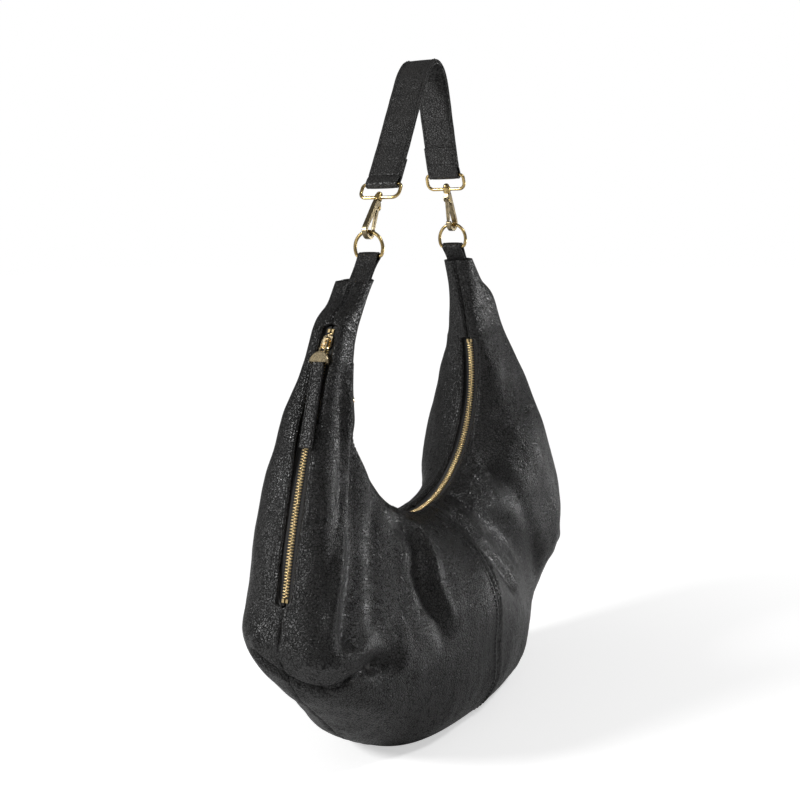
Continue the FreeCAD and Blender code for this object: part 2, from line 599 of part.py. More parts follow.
def loop():
    """Rounded frame in the YZ plane with the swivel's barrel on its lower bar."""
    low, high = BARREL_AT, LOOP_AT
    r_low, r_high = 6.0, 3.5

    def at(y, z):
        return V(0, y, z)

    diagonal = math.sqrt(0.5)
    edges = [Part.makeLine(at(-LOOP_HALF + r_low, low), at(LOOP_HALF - r_low, low)),
             Part.makeLine(at(-LOOP_HALF + r_high, high), at(LOOP_HALF - r_high, high))]
    for sign in (-1, 1):
        edge = sign * LOOP_HALF
        inset = sign * r_low
        edges.append(Part.Arc(at(edge - inset, low),
                              at(edge - inset + inset * diagonal, low + r_low - r_low * diagonal),
                              at(edge, low + r_low)).toShape())
        edges.append(Part.makeLine(at(edge, low + r_low), at(edge, high - r_high)))
        inset = sign * r_high
        edges.append(Part.Arc(at(edge, high - r_high),
                              at(edge - inset + inset * diagonal, high - r_high + r_high * diagonal),
                              at(edge - inset, high)).toShape())
    frame = swept_rod(Part.Wire(Part.__sortEdges__(edges)), ROD_R)
    boss = Part.makeCylinder(BOSS_R, BOSS_HIGH - BOSS_LOW, V(0, 0, BOSS_LOW), UP)
    boss = boss.makeFillet(0.8, [e for e in boss.Edges if e.Length > 10 and e.BoundBox.ZLength < 0.01])
    bore = Part.makeCylinder(SWIVEL_R + SWIVEL_CLEAR, BOSS_HIGH - BOSS_LOW + 4, V(0, 0, BOSS_LOW - 2), UP)
    return frame.fuse(boss).cut(bore).removeSplitter()


def hung(shape, lean, right):
    """Lean a shape built about the rod's centre, and hang it on the left or right ring."""
    placed = shape.copy()
    placed.rotate(ORIGIN, ALONG_Y, lean)
    placed.translate(V(-RING_X, 0, RING_Z + RING_R))
    return mirrored(placed) if right else placed


def gate_spring():
    """Torsion spring beside the gate, round its pin."""
    return Part.makeTorus(SPRING_R, SPRING_WIRE_R, V(PIVOT[0], GATE_HALF - SPRING_SEAT / 2, PIVOT[1]), ALONG_Y)


for name, lean, right in (("left", LEFT_LEAN, False), ("right", RIGHT_LEAN, True)):
    save(hung(hook_body(), lean, right), "hook_" + name)
    save(hung(gate(), lean, right), "gate_" + name)
    save(hung(gate_pin(), lean, right), "gate_pin_" + name)
    save(hung(gate_spring(), lean, right), "gate_spring_" + name)
    save(hung(swivel_rivet(), lean, right), "swivel_rivet_" + name)
    save(hung(loop(), lean, right), "loop_" + name)

# ---------------------------------------------------------------- strap

CROWN = ((-34.0, 520.0), (-15.0, 551.0), (-0.5, 575.0), (12.5, 594.0), (27.0, 603.0), (40.5, 595.0),
         (48.0, 575.0), (53.0, 550.0), (58.6, 526.0))
FOLD_SEAT = 8.0                  # strap's end above the loop's bar
FOLD_LAP = 27.0                  # how far the folded end runs up the strap's inner face
LAP_CLEAR = 0.4
STRAP_SAMPLES = 60


def bar_point(lean, right):
    """Centre of a loop's upper bar."""
    a = math.radians(lean)
    x = -RING_X + LOOP_AT * math.sin(a)
    return V(-x if right else x, 0, RING_Z + RING_R + LOOP_AT * math.cos(a))


bars = (bar_point(LEFT_LEAN, False), bar_point(RIGHT_LEAN, True))
middle_line = Part.BSplineCurve()
middle_line.interpolate([bars[0]] + [V(x, 0, z) for x, z in CROWN] + [bars[1]])


def line_at(length):
    """Point of the strap's middle line, and the direction out of the arch, at a length along it."""
    u = middle_line.parameterAtDistance(length)
    along = middle_line.tangent(u)[0]
    return middle_line.value(u), V(-along.z, 0, along.x)


def strap_layer(low, high, start, end):
    """One layer of the strap between two offsets from its middle line."""
    samples = [start + (end - start) * i / STRAP_SAMPLES for i in range(STRAP_SAMPLES + 1)]
    sides = []
    for offset in (low, high):
        curve = Part.BSplineCurve()
        curve.interpolate([line_at(s)[0] + line_at(s)[1] * offset for s in samples])
        sides.append(curve.toShape())
    ends = [Part.makeLine(sides[0].valueAt(p), sides[1].valueAt(q)) for p, q in (
        (sides[0].FirstParameter, sides[1].FirstParameter), (sides[0].LastParameter, sides[1].LastParameter))]
    face = Part.Face(Part.Wire(Part.__sortEdges__(sides + ends)))
    layer = face.extrude(V(0, 2 * STRAP_HALF, 0))
    layer.translate(V(0, -STRAP_HALF, 0))
    return layer


def strap_fold(bar, start, end, inward):
    """The strap's end, folded round a loop's bar and lapped up the inner face."""
    hole_r = ROD_R + FOLD_CLEAR
    outer_r = hole_r + FOLD_LEATHER
    eye = rod_y(0, 0, outer_r, -STRAP_HALF, STRAP_HALF).cut(rod_y(0, 0, hole_r, -FAR, FAR))
    eye = eye.common(box((-FAR, -FAR, -FAR), (FAR, FAR, 0)))
    outer_leg = prism(((-outer_r * inward, 0), (-hole_r * inward, 0),
                       (0, FOLD_SEAT - 0.3), (-STRAP_LAYER * inward, FOLD_SEAT - 0.3)), STRAP_HALF)
    lap = STRAP_LAYER + LAP_CLEAR
    inner_leg = prism(((hole_r * inward, 0), (outer_r * inward, 0), ((lap + FOLD_LEATHER) * inward, FOLD_SEAT),
                       ((lap + FOLD_LEATHER) * inward, FOLD_LAP), (lap * inward, FOLD_LAP),
                       (lap * inward, FOLD_SEAT - 1.5)), STRAP_HALF)
    fold = eye.fuse([outer_leg, inner_leg]).removeSplitter()
    along = line_at(end)[0] - line_at(start)[0]
    fold.rotate(ORIGIN, ALONG_Y, math.degrees(math.atan2(along.x, along.z)))
    fold.translate(bar)
    return fold


strap_length = middle_line.length()
strap_ends = (FOLD_SEAT, strap_length - FOLD_SEAT)
save(strap_layer(0.0, STRAP_LAYER, *strap_ends), "strap_outer")
save(strap_layer(-STRAP_LAYER, 0.0, *strap_ends), "strap_inner")
save(strap_fold(bars[0], 0.0, FOLD_LAP, 1.0), "strap_fold_left")
save(strap_fold(bars[1], strap_length, strap_length - FOLD_LAP, -1.0), "strap_fold_right")
print("strap length", round(strap_length, 1), "bars", bars)
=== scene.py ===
import bpy
import math
import numpy as np
from mathutils import Matrix, Vector


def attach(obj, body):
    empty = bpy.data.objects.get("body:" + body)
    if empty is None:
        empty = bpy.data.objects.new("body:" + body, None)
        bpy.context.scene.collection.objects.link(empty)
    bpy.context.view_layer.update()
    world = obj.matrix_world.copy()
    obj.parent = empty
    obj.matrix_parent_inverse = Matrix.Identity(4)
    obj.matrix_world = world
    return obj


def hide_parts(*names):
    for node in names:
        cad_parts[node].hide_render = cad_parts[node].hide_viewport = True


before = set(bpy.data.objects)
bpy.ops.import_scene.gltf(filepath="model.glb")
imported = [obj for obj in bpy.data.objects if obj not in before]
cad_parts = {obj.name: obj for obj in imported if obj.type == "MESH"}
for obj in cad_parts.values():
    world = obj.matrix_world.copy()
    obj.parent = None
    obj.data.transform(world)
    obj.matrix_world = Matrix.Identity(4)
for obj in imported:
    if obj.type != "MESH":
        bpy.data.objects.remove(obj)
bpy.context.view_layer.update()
MM = 0.001
Y_AXIS = np.array((0.0, 1.0, 0.0))

# ---------------------------------------------------------------- camera, light and floor

LENS = 60.75
SENSOR = 36.0
VIEW_AZIMUTH = math.radians(-59.5)
VIEW_ELEVATION = math.radians(9.0)
VIEW_ROLL = math.radians(-2.02)
VIEW_DISTANCE = 1.2268
VIEW_TARGET = Vector((-0.0325, 0.0004, 0.3008))
ROOM_LIGHT = 0.15                # glow of the room, beside the white that the camera sees
# name, place and target in metres, width in metres and power in watts
LIGHTS = (
    ("key", (-1.5, 1.0, 1.1), (-0.1, 0.0, 0.2), 0.5, 29.0),
    ("front", (0.2, -1.4, 2.0), (0.0, 0.0, 0.2), 0.4, 14.0),
    ("side", (1.6, -1.0, 0.12), (0.1, 0.0, 0.05), 0.35, 8.5),
)
FLOOR_HALF = 6.0
FLOOR_DROP = 0.0004              # below the bag's lowest point
FLOOR_FADE = (0.22, 0.75)        # distances from the bag over which the paper turns white
FLOOR_GLOW = (0.54, 0.48)        # what the camera sees near the bag, and how much more far away


def make_camera():
    data = bpy.data.cameras.new("camera")
    data.lens = LENS
    data.sensor_width = SENSOR
    data.clip_start = 0.05
    data.clip_end = 50.0
    camera = bpy.data.objects.new("camera", data)
    bpy.context.scene.collection.objects.link(camera)
    a, e = VIEW_AZIMUTH, VIEW_ELEVATION
    back = Vector((math.sin(a) * math.cos(e), -math.cos(a) * math.cos(e), math.sin(e)))
    right = Vector((math.cos(a), math.sin(a), 0.0))
    up = back.cross(right)
    r = VIEW_ROLL
    side = right * math.cos(r) + up * math.sin(r)
    top = up * math.cos(r) - right * math.sin(r)
    turn = Matrix((side, top, back)).transposed().to_4x4()
    camera.matrix_world = Matrix.Translation(VIEW_TARGET + back * VIEW_DISTANCE) @ turn
    bpy.context.scene.camera = camera


def area_light(name, place, target, size, power):
    data = bpy.data.lights.new(name, "AREA")
    data.shape = "DISK"
    data.size = size
    data.energy = power
    lamp = bpy.data.objects.new(name, data)
    bpy.context.scene.collection.objects.link(lamp)
    lamp.location = place
    lamp.rotation_euler = (Vector(target) - Vector(place)).to_track_quat("-Z", "Y").to_euler()


def make_studio():
    scene = bpy.context.scene
    scene.view_settings.view_transform = "Standard"
    world = bpy.data.worlds.new("studio")
    world.use_nodes = True
    nodes, links = world.node_tree.nodes, world.node_tree.links
    glow = nodes["Background"]
    glow.inputs["Color"].default_value = (1.0, 1.0, 1.0, 1.0)
    path = nodes.new("ShaderNodeLightPath")
    seen = nodes.new("ShaderNodeMapRange")
    seen.inputs["To Min"].default_value = ROOM_LIGHT
    seen.inputs["To Max"].default_value = 1.0
    links.new(path.outputs["Is Camera Ray"], seen.inputs["Value"])
    links.new(seen.outputs["Result"], glow.inputs["Strength"])
    scene.world = world
    for light in LIGHTS:
        area_light(*light)


def make_floor():
    """Pale paper that fades into the white around it."""
    mesh = bpy.data.meshes.new("floor")
    corners = [(-FLOOR_HALF, -FLOOR_HALF, 0), (FLOOR_HALF, -FLOOR_HALF, 0),
               (FLOOR_HALF, FLOOR_HALF, 0), (-FLOOR_HALF, FLOOR_HALF, 0)]
    mesh.from_pydata(corners, [], [(0, 1, 2, 3)])
    floor = bpy.data.objects.new("floor", mesh)
    bpy.context.scene.collection.objects.link(floor)
    floor.location.z = -FLOOR_DROP
    p = Paint("floor_paint")
    reach = p.add("ShaderNodeVectorMath", {0: p.place}, operation="LENGTH").outputs["Value"]
    far = p.span(reach, *FLOOR_FADE, 0.0, 1.0)
    mottle = p.span(p.noise(4.0, 2.0), 0.3, 0.7, 0.92, 0.94)
    paper = p.add("ShaderNodeCombineColor", {0: mottle, 1: mottle, 2: mottle}).outputs[0]
    seen = p.add("ShaderNodeLightPath").outputs["Is Camera Ray"]
    white = p.math("MULTIPLY", far, seen)
    near_glow, far_glow = FLOOR_GLOW
    glow = p.math("MULTIPLY", seen, p.math("MULTIPLY_ADD", far, far_glow, near_glow))
    p.set(Base_Color=p.blend(white, paper, grey(0.0)), Roughness=0.8, Specular_IOR_Level=0.0,
          Emission_Color=grey(1.0), Emission_Strength=glow)
    mesh.materials.append(p.material)


# ---------------------------------------------------------------- materials


class Paint:
    """A Principled material whose nodes are added one line at a time, in object coordinates."""

    def __init__(self, name):
        self.material = bpy.data.materials.new(name)
        self.material.use_nodes = True
        self.tree = self.material.node_tree
        self.shader = self.tree.nodes["Principled BSDF"]
        self.place = self.add("ShaderNodeTexCoord").outputs["Object"]

    def add(self, kind, inputs=None, **settings):
        node = self.tree.nodes.new(kind)
        for key, value in settings.items():
            setattr(node, key, value)
        for key, value in (inputs or {}).items():
            self.put(node.inputs[key], value)
        return node

    def put(self, socket, value):
        if isinstance(value, bpy.types.NodeSocket):
            self.tree.links.new(value, socket)
        else:
            socket.default_value = value

    def math(self, kind, a, b=0.0, c=0.0):
        return self.add("ShaderNodeMath", {0: a, 1: b, 2: c}, operation=kind).outputs[0]

    def noise(self, size, detail=3.0, place=None, rough=0.55):
        """Noise between 0 and 1 with features of a size in mm."""
        return self.add("ShaderNodeTexNoise", {"Vector": place or self.place, "Scale": 1000.0 / size,
                                               "Detail": detail, "Roughness": rough}).outputs["Fac"]

    def span(self, value, low, high, to_low, to_high, smooth=True):
        return self.add("ShaderNodeMapRange", {"Value": value, "From Min": low, "From Max": high,
                                               "To Min": to_low, "To Max": to_high},
                        interpolation_type="SMOOTHSTEP" if smooth else "LINEAR").outputs["Result"]

    def blend(self, factor, a, b):
        node = self.add("ShaderNodeMix", data_type="RGBA")
        self.put(node.inputs[0], factor)
        self.put(node.inputs[6], a)
        self.put(node.inputs[7], b)
        return node.outputs[2]

    def bump(self, height, depth, strength, under=None):
        """Relief with a depth in mm."""
        inputs = {"Height": height, "Distance": depth * MM, "Strength": strength}
        if under is not None:
            inputs["Normal"] = under
        return self.add("ShaderNodeBump", inputs).outputs["Normal"]

    def set(self, **values):
        for key, value in values.items():
            self.put(self.shader.inputs[key.replace("_", " ")], value)
        return self.material


def grey(level, warmth=0.0):
    """A grey, a little reddish where warmth is above 0."""
    return (level * (1 + warmth), level, level * (1 - warmth), 1.0)


def leather(name, pebble, depth, tone=0.0075, gloss=0.27):
    """Pebbled leather. pebble is the size of a grain, and depth how deep the creases between
    the grains are, both in mm."""
    p = Paint(name)
    drift = p.add("ShaderNodeTexNoise", {"Vector": p.place, "Scale": 1000.0 / 7.0, "Detail": 3.0})
    shift = p.add("ShaderNodeVectorMath", {0: drift.outputs["Color"], "Scale": 4.2 * MM},
                  operation="SCALE").outputs[0]
    bent = p.add("ShaderNodeVectorMath", {0: p.place, 1: shift}, operation="ADD").outputs[0]
    edge = p.add("ShaderNodeTexVoronoi", {"Vector": bent, "Scale": 1000.0 / pebble, "Randomness": 1.0},
                 feature="DISTANCE_TO_EDGE").outputs["Distance"]
    grain = p.span(edge, 0.0, 0.17, 0.0, 1.0)
    fine_edge = p.add("ShaderNodeTexVoronoi", {"Vector": bent, "Scale": 2100.0 / pebble},
                      feature="DISTANCE_TO_EDGE").outputs["Distance"]
    fine = p.span(fine_edge, 0.0, 0.2, 0.0, 1.0)
    patches = p.noise(24.0, 4.0)
    creases = p.noise(6.5, 4.0, bent, 0.62)
    relief = p.math("MULTIPLY_ADD", fine, 0.2, p.math("MULTIPLY", grain, p.span(patches, 0.3, 0.7, 0.7, 1.1)))
    soft = p.bump(creases, 1.1, 0.4)
    normal = p.bump(relief, depth, 1.0, soft)
    # Colour darker in the creases between the grains: painted shade, standing in for the shadow inside the
    # creases; lighter and darker in broad random patches too.
    crease_shade_and_patches = p.math("MULTIPLY_ADD", grain, 0.45, p.span(patches, 0.35, 0.75, 0.1, 0.5))
    colour = p.blend(crease_shade_and_patches, grey(tone * 0.5, 0.02), grey(tone * 1.1, 0.05))
    rubbed = p.span(p.noise(3.0, 2.0), 0.25, 0.75, gloss + 0.1, gloss + 0.22)
    roughness = p.math("MULTIPLY_ADD", grain, -0.12, rubbed)
    # Specular lowered in the creases as well: painted shade on the reflections.
    shine = p.math("MULTIPLY_ADD", grain, 0.5, 0.1)
    return p.set(Base_Color=colour, Roughness=roughness, Normal=normal, Specular_IOR_Level=shine)


def smooth_leather(name, tone=0.014):
    """Cut edges and backing leather, fine pored."""
    p = Paint(name)
    pores = p.noise(0.8, 4.0)
    colour = p.blend(p.noise(9.0), grey(tone * 0.7), grey(tone * 1.3, 0.04))
    return p.set(Base_Color=colour, Roughness=p.span(pores, 0.3, 0.7, 0.45, 0.62),
                 Normal=p.bump(pores, 0.12, 0.7))


def woven(name, tone, pitch, warmth=0.0):
    """Cloth or zip tape with crossed threads."""
    p = Paint(name)
    parts = p.add("ShaderNodeSeparateXYZ", {0: p.place})
    slope = p.math("ADD", parts.outputs[0], p.math("MULTIPLY", parts.outputs[2], 0.8))
    warp = p.math("SINE", p.math("MULTIPLY", parts.outputs[1], 2000.0 * math.pi / pitch))
    weft = p.math("SINE", p.math("MULTIPLY", slope, 2000.0 * math.pi / pitch))
    weave = p.math("MULTIPLY_ADD", p.math("MULTIPLY", warp, weft), 0.5, 0.5)
    colour = p.blend(p.math("MULTIPLY_ADD", weave, 0.6, p.math("MULTIPLY", p.noise(6.0), 0.4)),
                     grey(tone * 0.5, warmth), grey(tone * 1.5, warmth))
    return p.set(Base_Color=colour, Roughness=0.85, Normal=p.bump(weave, 0.18, 0.8), Sheen_Weight=0.25)


def thread(name, tone):
    p = Paint(name)
    twist = p.add("ShaderNodeTexWave", {"Vector": p.place, "Scale": 1800.0, "Distortion": 1.0},
                  bands_direction="DIAGONAL").outputs["Fac"]
    return p.set(Base_Color=p.blend(twist, grey(tone * 0.5), grey(tone * 1.4)), Roughness=0.6,
                 Normal=p.bump(twist, 0.08, 0.8))


def brass(name, bright, dark, roughness, patina=0.5, size=5.0):
    """Antique brass: bright where it is rubbed, darker in blotches."""
    p = Paint(name)
    blotch = p.span(p.noise(size, 5.0, rough=0.65), 0.5 - 0.3 * patina, 0.75, 0.0, 1.0)
    scuff = p.noise(0.7, 3.0)
    colour = p.blend(blotch, (*bright, 1.0), (*dark, 1.0))
    rough = p.math("MULTIPLY_ADD", blotch, 0.14, p.span(scuff, 0.3, 0.7, roughness - 0.05, roughness + 0.08))
    return p.set(Base_Color=colour, Metallic=1.0, Roughness=rough, Normal=p.bump(scuff, 0.03, 0.5))


def make_materials():
    gold, bronze = (0.78, 0.57, 0.24), (0.34, 0.24, 0.11)
    return {
        "panel": leather("panel_leather", 2.5, 0.34),
        "trim": leather("trim_leather", 2.3, 0.26, tone=0.01, gloss=0.42),
        "strap": leather("strap_leather", 2.3, 0.26, tone=0.022, gloss=0.34),
        "backing": smooth_leather("strap_backing", 0.012),
        "lining": woven("lining_cloth", 0.05, 0.7, 0.04),
        "tape": woven("zip_tape", 0.012, 0.8),
        "thread": thread("sewing_thread", 0.02),
        "teeth": brass("zip_brass", (0.62, 0.47, 0.24), (0.34, 0.25, 0.12), 0.28, 0.35, 3.0),
        "slider": brass("slider_brass", (0.8, 0.66, 0.42), (0.35, 0.27, 0.15), 0.2, 0.4, 4.0),
        "ring": brass("ring_brass", gold, bronze, 0.2, 0.45, 6.0),
        "hook": brass("hook_brass", (0.42, 0.34, 0.2), (0.12, 0.095, 0.06), 0.26, 0.8, 5.0),
        "spring": brass("spring_steel", (0.6, 0.6, 0.6), (0.4, 0.4, 0.4), 0.3, 0.3),
    }


# ---------------------------------------------------------------- mesh helpers


def piece(name, points, faces, material, body, replaced=(), smooth=True):
    """A mesh piece riding on a body. Points are in mm."""
    mesh = bpy.data.meshes.new(name)
    mesh.from_pydata([tuple(p) for p in np.asarray(points) * MM], [], faces)
    mesh.materials.append(material)
    mesh.polygons.foreach_set("use_smooth", [smooth] * len(mesh.polygons))
    mesh.update()
    made = bpy.data.objects.new(name, mesh)
    bpy.context.scene.collection.objects.link(made)
    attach(made, body)
    if replaced:
        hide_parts(*replaced)


def tube_faces(rings, around, flip=False):
    """Quads between closed rings of points, with a cap on each end."""
    faces = []
    for i in range(rings - 1):
        for j in range(around):
            k = (j + 1) % around
            quad = (i * around + j, i * around + k, (i + 1) * around + k, (i + 1) * around + j)
            faces.append(quad[::-1] if flip else quad)
    first = tuple(range(around))
    last = tuple(range((rings - 1) * around, rings * around))
    faces.append(first if flip else first[::-1])
    faces.append(last[::-1] if flip else last)
    return faces


def smoothstep(x, low, high):
    f = np.clip((x - low) / (high - low), 0.0, 1.0)
    return f * f * (3 - 2 * f)


def hump(distance, width):
    return np.exp(-(distance / width) ** 2)


def unit(vectors):
    return vectors / (np.linalg.norm(vectors, axis=-1, keepdims=True) + 1e-12)


def along(points):
    """Length along a line of points, at each of them."""
    steps = np.linalg.norm(np.diff(points, axis=0), axis=1)
    return np.concatenate(([0.0], np.cumsum(steps)))


def resample(points, places):
    length = along(points)
    return np.stack([np.interp(places, length, points[:, i]) for i in range(3)], axis=1)


def strip_profile(half, low, high, groove=2.6, crown=0.25, count=26, corner=0.7):
    """Section of a leather strip: rounded edges, a crowned top and a dip under each stitch line."""
    y = np.linspace(-1, 1, count) * (half - corner)
    top = high + crown * (1 - (y / half) ** 2) - 0.22 * hump(np.abs(y) - (half - groove), 0.9)
    turn = np.radians((60, 30, 0, -30, -60))
    middle = (low + high) / 2
    round_y = half - corner + corner * np.cos(turn)
    round_n = middle + (high - low) / 2 * np.sin(turn)
    points = list(zip(y[::-1], top[::-1])) + list(zip(-round_y, round_n))
    points += list(zip(y, np.full(count, low))) + list(zip(round_y, round_n[::-1]))
    return np.array(points)


def flat_sweep(path, normals, profile, ripple=0.0):
    """Rings of a section swept along a line in the XZ plane."""
    s = along(path)
    wave = ripple * (np.sin(s / 7.3) + 0.7 * np.sin(s / 3.1 + 1.0))
    rings = path[:, None, :] + profile[None, :, 0:1] * Y_AXIS + profile[None, :, 1:2] * normals[:, None, :]
    tilt = 0.4 * ripple * np.sin(s / 11.0)[:, None] * profile[None, :, 0] / 10.0
    return rings + (wave[:, None] + tilt)[..., None] * normals[:, None, :]


def strip(name, path, normals, profile, material, body, replaced=(), ripple=0.0):
    rings = flat_sweep(path, normals, profile, ripple)
    faces = tube_faces(len(path), len(profile), flip=True)
    piece(name, rings.reshape(-1, 3), faces, material, body, replaced)


def side_of(path):
    """Unit vectors in the XZ plane, square to a line, on the left of its direction."""
    d = unit(np.gradient(path, axis=0))
    return np.stack((-d[:, 2], np.zeros(len(d)), d[:, 0]), axis=1)


STITCH = 3.1                     # length of one stitch, in mm
STITCH_GAP = 1.0
THREAD_R = 0.42


def stitch_rows(lines):
    """Points and faces of stitches along lines of (points, normals)."""
    points, faces = [], []
    around = 6
    turn = np.arange(around) * 2 * math.pi / around
    for path, normals in lines:
        length = along(path)
        count = int(length[-1] // (STITCH + STITCH_GAP))
        for i in range(count):
            start = i * (STITCH + STITCH_GAP) + STITCH_GAP / 2
            places = start + STITCH * np.array((0.0, 0.12, 0.5, 0.88, 1.0))
            centre = resample(path, places)
            out = np.array([[np.interp(p, length, normals[:, k]) for k in range(3)] for p in places])
            lift = np.array((-0.25, 0.12, 0.26, 0.12, -0.25))
            radius = THREAD_R * np.array((0.55, 1.0, 1.05, 1.0, 0.55))
            d = unit(centre[-1] - centre[0])
            across = unit(np.cross(d, out))
            up = np.cross(across, d)
            spokes = (np.cos(turn)[None, :, None] * across[:, None, :]
                      + np.sin(turn)[None, :, None] * up[:, None, :])
            ring = (centre + out * lift[:, None])[:, None, :] + radius[:, None, None] * spokes
            faces += [tuple(v + len(points) for v in f) for f in tube_faces(5, around)]
            points.extend(ring.reshape(-1, 3))
    return np.array(points), faces


def sew(name, lines, body, material):
    points, faces = stitch_rows(lines)
    piece(name, points, faces, material, body)


# ---------------------------------------------------------------- the bag's form, in mm

MOUTH_R = 118.0
MOUTH = (-12.0, 314.0)
MOUTH_RISE = (17.0, 14.0)
HORN_TIP = ((-84.0, 414.0), (79.3, 420.0))
TIP_OUT = 8.0
TIP_DROP = 7.0
HOLLOW_PEAK = 0.5625
SIDE_TOP = (142.4, 381.0)
SIDE_FOOT = (230.0, 164.0)
SIDE_BULGE = 8.66
side_chord = math.hypot(SIDE_FOOT[0] - SIDE_TOP[0], SIDE_TOP[1] - SIDE_FOOT[1])
SIDE_R = side_chord ** 2 / (8 * SIDE_BULGE) + SIDE_BULGE / 2
side_reach = (SIDE_R - SIDE_BULGE) / side_chord
SIDE_CENTRE = (
    (SIDE_TOP[0] + SIDE_FOOT[0]) / 2 - side_reach * (SIDE_TOP[1] - SIDE_FOOT[1]),
    (SIDE_TOP[1] + SIDE_FOOT[1]) / 2 - side_reach * (SIDE_FOOT[0] - SIDE_TOP[0]),
)


def end_seam_x(z):
    return SIDE_CENTRE[0] + math.sqrt(SIDE_R ** 2 - (z - SIDE_CENTRE[1]) ** 2)


# place along the inner seam, outer seam's X and Z, half depths (front left, front right, back
# left, back right), hollow beside the mouth (front left, back right), boxiness of the section
# at its inner and outer side
STATIONS = np.array((
    (0.0, 0.0, -8.0, 80.0, 80.0, 80.0, 80.0, 0.0, 0.0, 2.0, 2.8),
    (0.095, 110.0, 2.0, 76.0, 69.0, 66.0, 76.0, 0.04, 0.0, 2.0, 2.8),
    (0.162, 179.0, 48.0, 67.0, 48.0, 50.0, 64.0, 0.15, 0.0, 2.0, 2.6),
    (0.229, 220.0, 90.0, 62.0, 56.0, 50.0, 60.0, 0.3, 0.0, 2.0, 2.7),
    (0.314, 239.0, 124.0, 57.0, 58.0, 57.0, 60.0, 0.45, -0.05, 2.0, 3.0),
    (0.429, end_seam_x(160.0), 160.0, 48.0, 56.0, 60.0, 62.0, 0.5, -0.1, 2.0, 2.9),
    (0.619, end_seam_x(232.0), 232.0, 34.0, 49.0, 49.0, 58.0, 0.38, -0.14, 2.2, 2.8),
    (0.81, end_seam_x(297.0), 297.0, 21.0, 29.0, 35.0, 44.0, 0.12, -0.14, 2.6, 3.4),
    (1.0, end_seam_x(349.0), 349.0, 15.0, 15.0, 21.5, 27.0, 0.0, -0.1, 3.9, 5.0),
    (1.28, end_seam_x(383.0), 383.0, 13.0, 13.0, 20.0, 21.0, 0.0, -0.05, 3.6, 5.0),
    (1.6, 118.0, 400.0, 13.2, 13.4, 20.0, 17.0, 0.0, 0.0, 2.8, 3.4),
    (2.0, 99.0, 421.0, 12.6, 12.6, 21.0, 14.5, 0.0, 0.0, 2.6, 2.6),
))
TIP = len(STATIONS) - 1
MOUTH_END = 8.0                  # station where the curved zip ends
LEATHER = 1.6
SLOT_HALF = 7.5
SEAM_HALF = 0.15


def spread(column, t):
    """A column of the stations, smoothly interpolated between them."""
    values = STATIONS[:, column]
    k = np.minimum(t.astype(int), TIP - 1)
    f = t - k
    b, c = values[k], values[k + 1]
    a = np.where(k > 0, values[np.maximum(k - 1, 0)], -c if column < 2 else c)
    d = np.where(k + 2 <= TIP, values[np.minimum(k + 2, TIP)], 2 * c - b)
    return b + 0.5 * f * (c - a + f * (2 * a - 5 * b + 4 * c - d + f * (3 * (b - c) + d - a)))


def inner_seam(place, side):
    """X and height of the seam round the mouth, and past place 1 up the horn."""
    turn = np.radians(90.0 + np.where(side < 0, *MOUTH_RISE))
    a = np.minimum(place, 1.0) * turn
    x = MOUTH[0] + side * MOUTH_R * np.sin(a)
    z = MOUTH[1] - MOUTH_R * np.cos(a)
    (left_x, left_z), (right_x, right_z) = HORN_TIP
    to_x, to_z = np.where(side < 0, left_x, right_x) - x, np.where(side < 0, left_z, right_z) - z
    f = np.maximum(place - 1.0, 0.0)
    lead = f * (1 - f) * np.hypot(to_x, to_z)
    return x + f * f * to_x + side * lead * np.cos(a), z + f * f * to_z + lead * np.sin(a)


def half_depth(t, face):
    """Half depth of the section, whose left and right ends differ."""
    size = np.minimum(np.abs(t), TIP)
    first = 3 if face < 0 else 5
    return np.where(t < 0, spread(first, size), spread(first + 1, size))


def form(t, angle, face):
    """Points of the plain form. t is in stations, below 0 on the left, and angle runs from the
    inner seam to the outer one."""
    t, angle = np.broadcast_arrays(np.asarray(t, float), np.asarray(angle, float))
    size = np.minimum(np.abs(t), TIP)
    side = np.where(t < 0, -1.0, 1.0)
    ix, iz = inner_seam(spread(0, size), side)
    ox, oz = side * spread(1, size), spread(2, size)
    share = np.where(t < 0, (np.maximum(size - TIP + 2, 0.0) / 2) ** 2, 0.0)
    ox, oz = ox - TIP_OUT * share, oz - TIP_DROP * share
    hollow = np.where(t < 0, spread(7, size), 0.0) if face < 0 else np.where(t < 0, 0.0, spread(8, size))
    depth = half_depth(t, face) * (1 - hollow * (np.sin(angle) * np.cos(angle / 2)) ** 2 / HOLLOW_PEAK)
    power = 2.0 / np.where(angle < math.pi / 2, spread(9, size), spread(10, size))
    c = np.cos(angle)
    s = 0.5 - 0.5 * np.sign(c) * np.abs(c) ** power
    y = face * depth * np.abs(np.sin(angle)) ** power
    return np.stack((ix + (ox - ix) * s, y, iz + (oz - iz) * s), axis=-1)


def edge_angle(t, half, face, outer):
    """Angle from a seam at which the section is that far from the middle plane."""
    power = spread(10 if outer else 9, np.minimum(np.abs(t), TIP))
    share = np.clip(half / half_depth(t, face), 0.0, 0.95)
    return np.arcsin(share ** (power / 2.0))


# places along the outer seam, from where it only climbs, and the side zip's two ends among them
fine_t = np.linspace(0.0, TIP, 2001)[400:]
fine_z = spread(2, fine_t)
SIDE_T_TOP = float(np.interp(SIDE_TOP[1], fine_z, fine_t))
SIDE_T_FOOT = float(np.interp(SIDE_FOOT[1], fine_z, fine_t))


def slot_half(t, outer):
    """Half width of the gap between the panels at their inner or outer edge."""
    if outer:
        above_foot = smoothstep(-t, SIDE_T_FOOT - 0.03, SIDE_T_FOOT + 0.03)
        inside = above_foot * smoothstep(t, -SIDE_T_TOP - 0.06, -SIDE_T_TOP + 0.06)
    else:
        inside = smoothstep(-np.abs(t), -MOUTH_END - 0.05, -MOUTH_END + 0.05)
    return SEAM_HALF + (SLOT_HALF - SEAM_HALF) * inside


